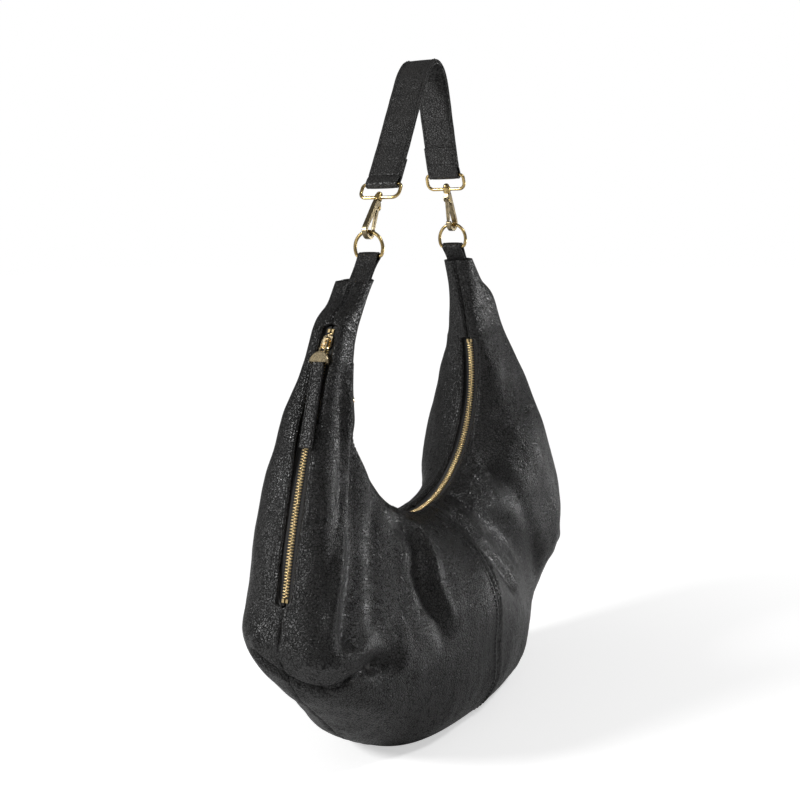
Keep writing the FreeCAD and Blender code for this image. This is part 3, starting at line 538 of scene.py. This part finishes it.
# Folds of the leather: line of points in mm, width, and height outwards.
FOLDS = (
    # flat end of the left horn, and the hollow beside it
    (((-146, -17, 336), (-150, -18, 319), (-157, -20, 288), (-163, -22, 255), (-174, -26, 229),
      (-195, -33, 197), (-209, -38, 172), (-222, -41, 150)), 6, 5.5),
    (((-138, -18, 280), (-148, -22, 248), (-151, -26, 220), (-163, -32, 189), (-186, -40, 160),
      (-202, -46, 138)), 12, -8.5),
    # creases from the mouth down the front
    (((-120, -20, 226), (-130, -27, 197), (-150, -38, 168), (-165, -47, 139), (-157, -54, 115)), 10, -3),
    (((-86, -28, 200), (-82, -41, 178), (-92, -50, 161), (-94, -60, 135), (-86, -68, 108)), 11, -5),
    (((-63, -33, 191), (-67, -48, 169), (-77, -58, 147), (-75, -67, 122)), 7, 4),
    (((4, -36, 186), (12, -56, 162), (30, -68, 140), (52, -72, 116)), 10, -6.5),
    (((40, -34, 196), (62, -50, 165), (84, -60, 130), (96, -66, 96)), 11, 3.6),
    (((84, -40, 214), (103, -50, 184), (130, -52, 140), (158, -46, 96)), 10, -4.5),
    (((120, -40, 250), (150, -48, 210), (178, -50, 160), (190, -50, 110)), 13, 3),
    # dart at the left end, its pit and the fullness above it
    (((-237, 26, 122), (-234, 6, 108), (-225, -12, 97), (-218, -26, 94), (-202, -46, 101),
      (-172, -55, 103)), 3.6, -6.5),
    (((-238, 20, 136), (-240, 0, 127), (-236, -24, 122), (-218, -43, 121), (-184, -54, 122)), 8, 4),
    (((-176, -56, 102), (-156, -60, 101)), 8, -8),
    (((-164, -62, 128), (-140, -68, 108), (-128, -70, 84)), 12, 4),
    (((-222, -30, 80), (-190, -46, 70), (-150, -58, 58)), 12, 2.5),
    # the same on the right end
    (((232, 34, 118), (238, 6, 108), (232, -24, 100), (214, -44, 104)), 3.2, -3),
    (((232, 34, 128), (238, 6, 120), (232, -24, 114), (210, -46, 120)), 9, 3),
    # soft drapes at the back
    (((-60, 40, 190), (-90, 56, 140), (-110, 60, 80)), 14, -4),
    (((0, 50, 190), (20, 70, 140), (10, 78, 80)), 15, 3),
    (((70, 44, 190), (100, 58, 140), (130, 60, 90)), 13, -4.5),
    (((-150, 30, 270), (-180, 44, 210), (-210, 46, 150)), 12, -3.5),
    (((140, 36, 260), (170, 48, 200), (200, 50, 140)), 13, -4),
    (((-120, 40, 240), (-150, 52, 190), (-180, 50, 130)), 12, 3),
)


def distance_to(points, line):
    """Distance of each point from a line of straight runs."""
    best = np.full(len(points), 1e9)
    for a, b in zip(line[:-1], line[1:]):
        a, b = np.array(a, float), np.array(b, float)
        run = b - a
        f = np.clip((points - a) @ run / (run @ run), 0.0, 1.0)
        best = np.minimum(best, np.linalg.norm(points - a - f[:, None] * run, axis=1))
    return best


PULL_ROOM = -0.1                 # highest relief of the leather that the side zip's pull hangs over
FLOOR_SETTLE = 3.0               # height below which the leather flattens on what it stands on
NORMAL_STEP = 0.012
RIPPLE_SIZES = ((90, 0.9), (64, 0.6), (44, 0.4), (29, 0.2), (19, 0.12), (13, 0.1), (9, 0.08), (80, 0.8))
rng = np.random.default_rng(11)
# direction, phase, wave length and height of each ripple
RIPPLES = [(rng.normal(size=3), rng.uniform(0, 6.28), size, height) for size, height in RIPPLE_SIZES]


def relief(points, t, angle):
    """How far the leather stands out from the plain form."""
    height = np.zeros(len(points))
    for line, width, size in FOLDS:
        height += size * hump(distance_to(points, line), width)
    for direction, phase, size, amount in RIPPLES:
        height += amount * np.sin(points @ unit(direction) * 2 * math.pi / size + phase)
    x, y, z = points.T
    # calmer on the floor and up the horns
    height *= smoothstep(z, 2.0, 26.0) * (1 - 0.75 * smoothstep(z, 300.0, 400.0))
    # the centre seam: a groove between two turned edges, puckered towards the mouth
    centre = np.abs(x)
    height += (0.8 * hump(centre - 5.0, 4.5) - 1.5 * hump(centre, 1.6)) * smoothstep(z, 1.0, 12.0)
    height += 0.28 * np.sin(z * 2 * math.pi / 7.0) * hump(centre - 3.6, 2.6) * smoothstep(z, 90.0, 150.0)
    # the edges of the zips' slots, and the seams beyond them
    outer_gap = slot_half(t, True)
    inner_gap = slot_half(t, False)
    near_outer = np.where(angle > math.pi / 2, np.abs(y) - outer_gap, 99.0)
    near_inner = np.where(angle < math.pi / 2, np.abs(y) - inner_gap, 99.0)
    for gap, near in ((outer_gap, near_outer), (inner_gap, near_inner)):
        open_slot = smoothstep(gap, 2.0, 6.0)
        turned_edge = 0.7 * hump(near - 4.6, 3.0) - 0.9 * hump(near, 1.1) - 0.35 * hump(near - 3.4, 0.7)
        closed_seam = 0.5 * hump(near - 4.0, 3.0) - 1.1 * hump(near, 1.3)
        height += open_slot * turned_edge + (1 - open_slot) * closed_seam
    # pressed flat where the side zip's pull hangs over it at the end of its travel
    under_pull = smoothstep(-x, 190.0, 212.0) * smoothstep(-np.abs(y), -24.0, -16.0)
    under_pull *= smoothstep(z, 84.0, 98.0)
    return height - under_pull * np.maximum(height - PULL_ROOM, 0.0)


def skin(t, angle, face):
    """Points and outward normals of the finished leather surface."""
    t, angle = np.broadcast_arrays(np.asarray(t, float), np.asarray(angle, float))
    shape = t.shape
    t, angle = t.ravel(), angle.ravel()
    base = form(t, angle, face)
    low, high = np.maximum(angle - NORMAL_STEP, 0.0), np.minimum(angle + NORMAL_STEP, math.pi)
    t_low, t_high = np.maximum(t - NORMAL_STEP, -TIP), np.minimum(t + NORMAL_STEP, TIP)
    normal = unit(np.cross(form(t_high, angle, face) - form(t_low, angle, face),
                           form(t, high, face) - form(t, low, face)) * face)
    points = base + normal * relief(base, t, angle)[:, None]
    sunk = points[:, 2] < FLOOR_SETTLE
    points[sunk, 2] = FLOOR_SETTLE * np.exp(points[sunk, 2] / FLOOR_SETTLE - 1.0)
    return points.reshape(*shape, 3), normal.reshape(*shape, 3)


ROWS = 34                        # rows of points per station
COLUMNS = 104                    # points from the inner seam to the outer one
CROWDING = 0.115                 # how much closer the points stand near both seams


def row_places(side):
    """Stations of a panel's rows, closer together at the ends of the zips."""
    ends = [MOUTH_END]
    if side < 0:
        ends += [SIDE_T_TOP, SIDE_T_FOOT]
    places = set(np.round(np.linspace(0.004, TIP, TIP * ROWS + 1), 4))
    for end in ends:
        places |= set(np.round(end + np.linspace(-0.08, 0.08, 17), 4))
    places = np.array(sorted(places))
    return places if side > 0 else -places[::-1]


def panel_grid(side, face, rows=None, columns=COLUMNS):
    """Stations and angles of a panel's points, from edge to edge."""
    t = row_places(side) if rows is None else rows
    u = np.linspace(0.0, 1.0, columns + 1)
    u = u - CROWDING * np.sin(2 * math.pi * u)
    start = edge_angle(t, slot_half(t, False), face, False)
    stop = math.pi - edge_angle(t, slot_half(t, True), face, True)
    angle = start[:, None] + (stop - start)[:, None] * u[None, :]
    return t, angle


def grid_normals(points, face):
    return unit(np.cross(np.gradient(points, axis=0), np.gradient(points, axis=1)) * face)


def shell_piece(name, side, face, inset, thickness, material, replaced, rows=None, columns=COLUMNS):
    """A closed sheet between the skin moved in by inset and by inset + thickness."""
    t, angle = panel_grid(side, face, rows, columns)
    outer, _ = skin(t[:, None] + 0 * angle, angle, face)
    normal = grid_normals(outer, face)
    inner = outer - normal * (inset + thickness)
    outer = outer - normal * inset
    inner[..., 2] = np.maximum(inner[..., 2], inset + thickness * 0.8)
    outer[..., 2] = np.maximum(outer[..., 2], inset)
    lip = 0.45 * thickness
    first = (outer[:, 0] + inner[:, 0]) / 2
    last = (outer[:, -1] + inner[:, -1]) / 2
    first += unit(outer[:, 0] - outer[:, 1]) * lip
    last += unit(outer[:, -1] - outer[:, -2]) * lip
    ring = np.concatenate((outer, last[:, None], inner[:, ::-1], first[:, None]), axis=1)
    rows_count, around = ring.shape[:2]
    faces = []
    for i in range(rows_count - 1):
        for j in range(around):
            k = (j + 1) % around
            faces.append((i * around + j, i * around + k, (i + 1) * around + k, (i + 1) * around + j))
    m = outer.shape[1]
    for i in (0, rows_count - 1):
        base = i * around
        caps = []
        for j in range(m - 1):
            p, q = base + j, base + j + 1
            r, s = base + around - 2 - j - 1, base + around - 2 - j
            caps.append((p, q, r, s))
        caps.append((base + m - 1, base + m, base + m + 1))
        caps.append((base + around - 1, base, base + around - 2))
        faces += [c if i else c[::-1] for c in caps]
    if face < 0:
        faces = [f[::-1] for f in faces]
    piece(name, ring.reshape(-1, 3), faces, material, "bag", replaced)


# ---------------------------------------------------------------- zips

TAPE_DEPTH = 3.8                 # tape's top below the seam line
TOOTH_PITCH = 2.5
STOP_ROOM = 6.0                  # length at each end of a zip without teeth
SLIDER_REST = 15.0               # from the zip's end to the slider
PIN_HEIGHT = 5.0                 # of the pull's pin above the tape
PULL_START = 15.2                # from the pin to the leather's start
PULL_BEND = 21.0                 # to where it bends
PULL_END = 19.0                  # to its end, less its stated length
PULL_HALF = 6.0
PULL_THICK = 3.0
PULL_STITCH = 4.3                # half the distance between its stitch lines


def on_arc(centre, radius, outward, degrees, y=0.0, height=0.0):
    """Point on a zip: height is above the tape's top, away from the bag."""
    a = np.radians(degrees)
    r = radius + outward * (height - TAPE_DEPTH)
    return np.stack(np.broadcast_arrays(centre[0] + r * np.cos(a), y, centre[1] + r * np.sin(a)), axis=-1)


def zip_tape(name, curve, span, sign, material, replaced):
    """One woven tape: a cord along the teeth and a soft wave in the cloth."""
    degrees = np.linspace(*span, 160)
    y = np.concatenate(([0.85, 1.1, 2.6, 3.4, 4.2], np.linspace(5.0, 9.3, 8)))
    top = np.array([0.0, 0.05, 0.1, 0.0, -0.08] + [-0.05] * 8)
    ys = np.concatenate((y, y[::-1])) * sign
    heights = np.concatenate((top, top[::-1] - 0.55))
    wave = 0.12 * np.sin(degrees * 1.7)[:, None] * smoothstep(np.abs(ys), 4.0, 9.0)
    points = on_arc(*curve, degrees[:, None], ys[None, :], heights[None, :] + wave)
    faces = tube_faces(len(degrees), len(ys), flip=(sign * curve[2] > 0))
    piece(name, points.reshape(-1, 3), faces, material, "bag", replaced)


def tooth_template():
    """A zip tooth: x along the zip, y across it from root to head, z away from the bag."""
    outline = ((-2.95, 0.62), (-1.7, 0.62), (-0.75, 0.5), (0.0, 0.5), (0.42, 0.62), (0.78, 0.34), (0.86, 0.0))
    half = list(outline) + [(y, -w) for y, w in outline[::-1][1:]]
    levels = ((-1.1, 0.75), (-0.85, 1.0), (0.95, 1.0), (1.25, 0.72))
    points, count = [], len(half)
    for z, scale in levels:
        points += [(w * scale, (y + 1.0) * (0.55 + 0.45 * scale) - 1.0, z) for y, w in half]
    return np.array(points), tube_faces(len(levels), count)


def zip_teeth(name, curve, span, replaced, material):
    """Closed teeth, alternately from one tape and the other."""
    template, faces = tooth_template()
    x, y, z = template.T
    centre, radius, outward = curve
    start, stop = (math.radians(s) for s in span)
    step = TOOTH_PITCH / 2 / radius
    margin = STOP_ROOM / radius
    count = int((stop - start - 2 * margin) / step)
    points, all_faces = [], []
    for i in range(count):
        a = start + margin + (i + 0.5) * step
        sign = -1.0 if i % 2 else 1.0
        out = np.array((math.cos(a), 0.0, math.sin(a))) * outward
        run = np.array((-math.sin(a), 0.0, math.cos(a)))
        base = on_arc(centre, radius, outward, math.degrees(a))
        made = base + x[:, None] * run + (y * sign)[:, None] * Y_AXIS + z[:, None] * out
        flip = (sign * outward) < 0
        offset = len(points)
        points.extend(made)
        all_faces += [tuple(v + offset for v in (f[::-1] if flip else f)) for f in faces]
    piece(name, points, all_faces, material, "bag", replaced)


# ---------------------------------------------------------------- pockets inside

# height and X of the side pocket's inner and outer edge
POCKET_INSIDE = ((104.0, -156.0), (190.0, -142.6), (262.0, -134.6), (328.0, -141.1), (346.0, -145.0))
POCKET_OUTSIDE = ((104.0, -202.0), (140.0, -215.0), (184.0, -210.0), (234.0, -195.0), (297.0, -171.0),
                  (346.0, -149.0))
SLIP_HALF = 74.5
SLIP_LOW, SLIP_HIGH = 54.5, 135.5
SLIP_Y = 50.9
SLIP_THICK = 0.7


def side_pocket(material):
    """A slack cloth bag hanging behind the side zip."""
    z = np.linspace(104.5, 346.0, 60)
    inside = np.interp(z, *np.array(POCKET_INSIDE).T)
    outside = np.interp(z, *np.array(POCKET_OUTSIDE).T)
    turn = np.linspace(0.0, 2 * math.pi, 48, endpoint=False)
    slack = 6.6 - 1.6 * np.sin(z / 9.0) * smoothstep(-z, -300.0, -150.0)
    x = (inside + outside)[:, None] / 2 + (inside - outside)[:, None] / 2 * np.cos(turn)[None, :]
    y = slack[:, None] * (np.sign(np.sin(turn)) * np.abs(np.sin(turn)) ** 0.7)[None, :]
    y = y + 0.5 * np.sin(x / 5.0 + z[:, None] / 17.0)
    rings = np.stack((x, y, z[:, None] + 0 * x), axis=2)
    piece("side_pocket_cloth", rings.reshape(-1, 3), tube_faces(len(z), len(turn)), material, "bag",
          ("side_pocket_bag",))


def slip_pocket(material):
    """A flat patch on the back lining, hemmed and a little slack along its open top."""
    z = np.linspace(SLIP_LOW, SLIP_HIGH, 40)
    x = np.linspace(-SLIP_HALF, SLIP_HALF, 60)
    sag = 0.5 * smoothstep(z, 95.0, SLIP_HIGH)[:, None] * np.cos(x / SLIP_HALF * 1.5)[None, :]
    hem = 0.35 * hump(SLIP_HIGH - z, 5.0)[:, None]
    front = SLIP_Y - sag - hem + 0.12 * np.sin(x / 6.0 + z[:, None] / 8.0)
    around = np.concatenate((x, x[::-1]))
    rows = [np.stack((around, np.concatenate((y, y[::-1] + SLIP_THICK)), np.full(len(around), level)), axis=1)
            for y, level in zip(front, z)]
    piece("slip_pocket_cloth", np.concatenate(rows), tube_faces(len(z), len(around)), material, "bag",
          ("inner_slip_pocket",))


MAIN_CURVE = (MOUTH, MOUTH_R, -1)
MAIN_SPAN = (-180.0 - MOUTH_RISE[0], MOUTH_RISE[1])
SIDE_CURVE = ((-SIDE_CENTRE[0], SIDE_CENTRE[1]), SIDE_R, 1)
SIDE_SPAN = tuple(180.0 - math.degrees(math.atan2(z - SIDE_CENTRE[1], x - SIDE_CENTRE[0]))
                  for x, z in (SIDE_TOP, SIDE_FOOT))


def seam_line(t, offset, face, outer):
    """Points and normals of a stitch line beside a panel's edge."""
    a = edge_angle(t, slot_half(t, outer) + offset, face, outer)
    return skin(t, math.pi - a if outer else a, face)


# ---------------------------------------------------------------- strap, tabs and pull tabs

RING_X = 77.0
RING_Z = 441.0
RING_R = 14.0
RING_DROP = 7.4
ROD_R = 1.5
TAB_LEANS = (math.radians(41.0), math.radians(33.0))
TAB_REACH = 44.0
LOOP_AT = 48.0
LEANS = (math.radians(34.0), math.radians(15.0))
# X and height along the strap's bow, between the loops
CROWN = ((-34.0, 520.0), (-15.0, 551.0), (-0.5, 575.0), (12.5, 594.0), (27.0, 603.0), (40.5, 595.0),
         (48.0, 575.0), (53.0, 550.0), (58.6, 526.0))
STRAP_HALF = 16.0
STRAP_LAYER = 2.2
STRAP_RIPPLE = 0.12
STRAP_STITCH_IN = 2.6            # stitch line from the strap's edge
FOLD_SEAT = 8.0                  # from a loop's bar to where the two layers start
FOLD_LAP = 27.0                  # from a loop's bar to the end of the folded leather
FOLD_CLEAR = 0.4                 # between folded leather and the bar inside it
FOLD_LEATHER = 1.8
LAP_CLEAR = 0.35
TAB_HALF = 10.0
TAB_NEAR = 1.2                   # from the tab's middle to the middle of each leg
TAB_STITCH = 7.6                 # half the distance between a tab's stitch lines


def smooth_line(points, count):
    """A Catmull-Rom line through points, evenly sampled."""
    p = np.array(points, float)
    ends = (2 * p[0] - p[1], 2 * p[-1] - p[-2])
    p = np.vstack((ends[0], p, ends[1]))
    out = []
    for k in range(1, len(p) - 2):
        f = np.linspace(0, 1, 24, endpoint=False)[:, None]
        a, b, c, d = p[k - 1:k + 3]
        out.append(b + 0.5 * f * (c - a + f * (2 * a - 5 * b + 4 * c - d + f * (3 * (b - c) + d - a))))
    line = np.vstack(out + [p[-2:-1]])
    return resample(line, np.linspace(0, along(line)[-1], count))


def bar_points():
    """Bars of the two loops, which the strap is folded round."""
    return [(sign * (RING_X - LOOP_AT * math.sin(lean)), 0.0, RING_Z + RING_R + LOOP_AT * math.cos(lean))
            for sign, lean in zip((-1, 1), LEANS)]


def across_strap(middle, half):
    """A line across the strap through a point."""
    return middle + np.linspace(-half, half, 30)[:, None] * Y_AXIS


def make_strap(paint):
    """Two layers sewn together, and their ends folded round the loops."""
    bars = bar_points()
    line = smooth_line([bars[0]] + [(x, 0.0, z) for x, z in CROWN] + [bars[1]], 400)
    length = along(line)[-1]
    body = resample(line, np.linspace(FOLD_SEAT, length - FOLD_SEAT, 200))
    up = side_of(body)
    up = up * np.sign(up[100, 2])
    outer = strip_profile(STRAP_HALF, 0.06, STRAP_LAYER)
    inner = strip_profile(STRAP_HALF, 0.06, STRAP_LAYER) * (1, -1)
    strip("strap_outer_leather", body, up, outer, paint["strap"], "strap", ("strap_outer",),
          STRAP_RIPPLE)
    strip("strap_inner_leather", body, up, inner[::-1], paint["strap"], "strap",
          ("strap_inner",), STRAP_RIPPLE)
    rows = []
    for y in (-1, 1):
        for level in (1, -1):
            edge = body + y * (STRAP_HALF - STRAP_STITCH_IN) * Y_AXIS + up * level * (STRAP_LAYER - 0.02)
            rows.append((edge, up * level))
    for from_bar in (FOLD_SEAT + 4.0, FOLD_LAP + 1.0):
        for place in (from_bar, length - from_bar):
            middle = resample(line, np.array([place]))[0]
            out = up[np.argmin(np.linalg.norm(body - middle, axis=1))]
            cross = across_strap(middle + out * (STRAP_LAYER + 0.1), STRAP_HALF - 3.4)
            rows.append((cross, np.tile(out, (len(cross), 1))))
    for side, bar, start, stop in (("left", bars[0], 0.0, FOLD_LAP),
                                   ("right", bars[1], length, length - FOLD_LAP)):
        rows += strap_fold(side, np.array(bar), resample(line, np.array([start, stop])), paint)
    sew("strap_stitches", rows, "strap", paint["thread"])


def facing(path, outward, profile):
    """Normals along a folded strip, and its section turned to suit, so that both face outwards
    half way along."""
    normals = side_of(path)
    if np.dot(normals[len(path) // 2], outward) > 0:
        return normals, profile
    return -normals, profile[::-1]


def strap_fold(side, bar, chord, paint):
    """The strap's end round the loop's bar and up its inner face."""
    run = unit(chord[1] - chord[0])
    inward = np.array((run[2], 0.0, -run[0])) * (1 if side == "left" else -1)
    middle = ROD_R + FOLD_CLEAR + FOLD_LEATHER / 2
    turn = np.radians(np.linspace(180, 360, 25))
    around = [(middle * math.cos(a), middle * math.sin(a)) for a in turn]
    start = [(-STRAP_LAYER / 2, FOLD_SEAT - 0.5), (-middle * 0.8, FOLD_SEAT * 0.5)]
    lap = STRAP_LAYER + LAP_CLEAR + FOLD_LEATHER / 2
    finish = [(middle * 0.98, 1.6), (lap + 0.1, FOLD_SEAT), (lap, FOLD_SEAT + 5.0), (lap, FOLD_LAP)]
    local = np.array(start + around + finish)
    path = bar + local[:, 0:1] * inward + local[:, 1:2] * run
    path = resample(path, np.linspace(0, along(path)[-1], 70))
    section = strip_profile(STRAP_HALF - 0.2, -FOLD_LEATHER / 2, FOLD_LEATHER / 2)
    normals, profile = facing(path, -run, section)
    strip("strap_fold_" + side + "_leather", path, normals, profile, paint["strap"], "strap",
          ("strap_fold_" + side,))
    rows = []
    length = along(path)[-1]
    lap_path = resample(path, np.linspace(length - FOLD_LAP + 9.0, length - 2.0, 30))
    out = np.tile(inward, (30, 1))
    for y in (-1, 1):
        rows.append((lap_path + y * (STRAP_HALF - 2.8) * Y_AXIS + out * (FOLD_LEATHER / 2 + 0.02), out))
    for from_end in (FOLD_LAP - 11.0, 2.6):
        spot = resample(path, np.array([length - from_end]))[0] + inward * (FOLD_LEATHER / 2 + 0.05)
        rows.append((across_strap(spot, STRAP_HALF - 3.0), out))
    return rows


def make_tab(side, paint):
    """A leather tab folded round the ring's straight bar, with its ends inside the horn."""
    sign, lean = (-1, TAB_LEANS[0]) if side == "left" else (1, TAB_LEANS[1])
    foot = np.array((sign * RING_X, 0.0, RING_Z - RING_DROP))
    down = np.array((sign * math.sin(lean), 0.0, -math.cos(lean)))
    out = np.array((-down[2], 0.0, down[0])) * -sign
    middle = ROD_R + FOLD_CLEAR + FOLD_LEATHER / 2
    near = TAB_NEAR
    turn = np.radians(np.linspace(-20, 200, 30))
    top = [(middle * math.cos(a), middle * math.sin(a)) for a in turn]
    local = np.array([(near, -TAB_REACH + 2.0), (near, -12.0), (near + 0.5, -6.5)] + top
                     + [(-near - 0.5, -6.5), (-near, -12.0), (-near, -TAB_REACH + 2.0)])
    path = foot + local[:, 0:1] * out - local[:, 1:2] * down
    path = resample(path, np.linspace(0, along(path)[-1], 110))
    section = strip_profile(TAB_HALF, -FOLD_LEATHER / 2, FOLD_LEATHER / 2, groove=2.2, count=18)
    normals, profile = facing(path, -down, section)
    strip("tab_" + side + "_leather", path, normals, profile, paint["trim"], "bag",
          ("tab_" + side,), 0.08)
    rows = []
    for face in (1, -1):
        face_out = np.tile(out * face, (20, 1))
        surface = near + FOLD_LEATHER / 2
        lengthwise = foot + down * np.linspace(7.5, 26.0, 20)[:, None] + face_out * (surface + 0.05)
        for y in (-TAB_STITCH, TAB_STITCH):
            rows.append((lengthwise + y * Y_AXIS, face_out))
        crosswise = np.linspace(0.2 - TAB_STITCH, TAB_STITCH - 0.2, 20)[:, None] * Y_AXIS
        rows.append((foot + down * 7.0 + face_out * (surface + 0.15) + crosswise, face_out))
    sew("tab_" + side + "_stitches", rows, "bag", paint["thread"])


def make_pull_tab(prefix, paint, curve, span, lift, length, droop, sway):
    """The leather tab of a zip's pull. It lifts off the tape at first, then droops back to it and
    sways to one side."""
    centre, radius, outward = curve
    a = math.radians(span[0]) + SLIDER_REST / radius
    out = np.array((math.cos(a), 0.0, math.sin(a))) * outward
    run = np.array((-math.sin(a), 0.0, math.cos(a)))
    across = np.cross(out, run)
    pin = on_arc(centre, radius, outward, math.degrees(a), 0.0, PIN_HEIGHT)
    s = np.linspace(PULL_START, PULL_END + length, 60)
    past = np.maximum(s - PULL_BEND, 0.0)
    fall = -past * math.tan(math.radians(droop))
    drift = past * math.tan(math.radians(sway))
    lift = math.radians(lift)
    path = pin + s[:, None] * (run * math.cos(lift) + out * math.sin(lift)) + fall[:, None] * (
        out * math.cos(lift) - run * math.sin(lift)) + drift[:, None] * across
    normal = unit(np.cross(unit(np.gradient(path, axis=0)), across))
    normal *= np.sign(normal @ out)[:, None]
    profile = strip_profile(PULL_HALF, -PULL_THICK / 2, PULL_THICK / 2, groove=1.7, crown=0.2, count=16)
    width = 1.0 - 0.18 * hump(s - PULL_START, 7.0)
    rings = (path[:, None, :] + (profile[None, :, 0:1] * width[:, None, None]) * across
             + profile[None, :, 1:2] * normal[:, None, :])
    body = prefix + "_pull"
    piece(body + "_leather", rings.reshape(-1, 3), tube_faces(len(path), len(profile)), paint["trim"], body,
          (body + "_tab",))
    rows = []
    for y in (-PULL_STITCH, PULL_STITCH):
        rows.append((path[8:-2] + y * across + normal[8:-2] * (PULL_THICK / 2 + 0.12), normal[8:-2]))
    end = path[-4] + np.linspace(0.1 - PULL_STITCH, PULL_STITCH - 0.1, 12)[:, None] * across
    end_out = np.tile(normal[-4], (12, 1))
    rows.append((end + end_out * (PULL_THICK / 2 + 0.2), end_out))
    sew(body + "_stitches", rows, body, paint["thread"])


# ---------------------------------------------------------------- everything in place


LINING_INSET = 2.6
LINING = 0.5
SLOT_STITCH = 3.6                # stitch line from the edge of a slot
SEAM_STITCH = 2.4                # stitch line from a closed seam
CENTRE_STITCH = 3.4              # stitch line from the centre seam


def make_shells(paint):
    """The four leather panels and the two halves of the lining."""
    for side, side_name in ((-1, "left"), (1, "right")):
        for face, face_name in ((-1, "front"), (1, "back")):
            node = face_name + "_panel_" + side_name
            shell_piece(node + "_leather", side, face, 0.0, LEATHER, paint["panel"], (node,))
    for face, face_name in ((-1, "front"), (1, "back")):
        rows = np.linspace(-TIP + 1.2, TIP - 1.2, 150)
        shell_piece("lining_" + face_name + "_cloth", 1, face, LINING_INSET, LINING, paint["lining"],
                    ("lining_" + face_name,), rows, 40)


def sew_bag(paint):
    """Stitches beside both zips, the closed seams and the centre seam."""
    tip = TIP - 0.12
    rows = []
    for face in (-1, 1):
        t = np.linspace(-MOUTH_END - 0.02, MOUTH_END + 0.02, 700)
        rows.append(seam_line(t, SLOT_STITCH, face, False))
        t = np.linspace(-SIDE_T_TOP - 0.02, -SIDE_T_FOOT + 0.02, 400)
        rows.append(seam_line(t, SLOT_STITCH, face, True))
        for side, outer_start, count in ((-1, SIDE_T_TOP + 0.15, 200), (1, MOUTH_END - 1, 300)):
            t = side * np.linspace(MOUTH_END + 0.2, tip, 200)
            rows.append(seam_line(t, SEAM_STITCH, face, False))
            t = side * np.linspace(outer_start, tip, count)
            rows.append(seam_line(t, SEAM_STITCH, face, True))
            a = np.linspace(0.28, 2.75, 300)
            width = np.abs(form(0.1, a, face)[:, 0] - form(0.0, a, face)[:, 0])
            rows.append(skin(np.clip(side * CENTRE_STITCH * 0.1 / width, -0.9, 0.9), a, face))
    sew("bag_stitches", rows, "bag", paint["thread"])


def make_zips(paint):
    for prefix, curve, span in (("main", MAIN_CURVE, MAIN_SPAN), ("side", SIDE_CURVE, SIDE_SPAN)):
        for name, sign in (("front", -1), ("back", 1)):
            zip_tape(prefix + "_tape_" + name + "_cloth", curve, span, sign, paint["tape"],
                     (prefix + "_zip_tape_" + name,))
        zip_teeth(prefix + "_teeth_brass", curve, span, (prefix + "_zip_teeth",), paint["teeth"])


# material of each kind of hardware, by the node's name without its side
HARDWARE = {"ring": "ring", "loop": "ring", "gate_pin": "ring", "swivel_rivet": "ring", "hook": "hook",
            "gate": "hook", "gate_spring": "spring", "main_zip_stops": "teeth", "side_zip_stops": "teeth",
            "main_slider": "slider", "side_slider": "slider", "main_pull_cap": "slider",
            "side_pull_cap": "slider"}


def paint_hardware(paint):
    """Materials and smooth faces for the metal pieces."""
    for node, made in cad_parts.items():
        key = HARDWARE.get(node.removesuffix("_left").removesuffix("_right"))
        if key is None:
            continue
        made.data.materials.clear()
        made.data.materials.append(paint[key])
        made.data.polygons.foreach_set("use_smooth", [True] * len(made.data.polygons))


make_camera()
make_studio()
make_floor()
paint = make_materials()
make_shells(paint)
sew_bag(paint)
side_pocket(paint["lining"])
slip_pocket(paint["lining"])
make_zips(paint)
make_strap(paint)
for side in ("left", "right"):
    make_tab(side, paint)
make_pull_tab("side", paint, SIDE_CURVE, SIDE_SPAN, lift=5.0, length=74.0, droop=6.5, sway=5.0)
make_pull_tab("main", paint, MAIN_CURVE, MAIN_SPAN, lift=15.0, length=20.0, droop=0.0, sway=0.0)
paint_hardware(paint)
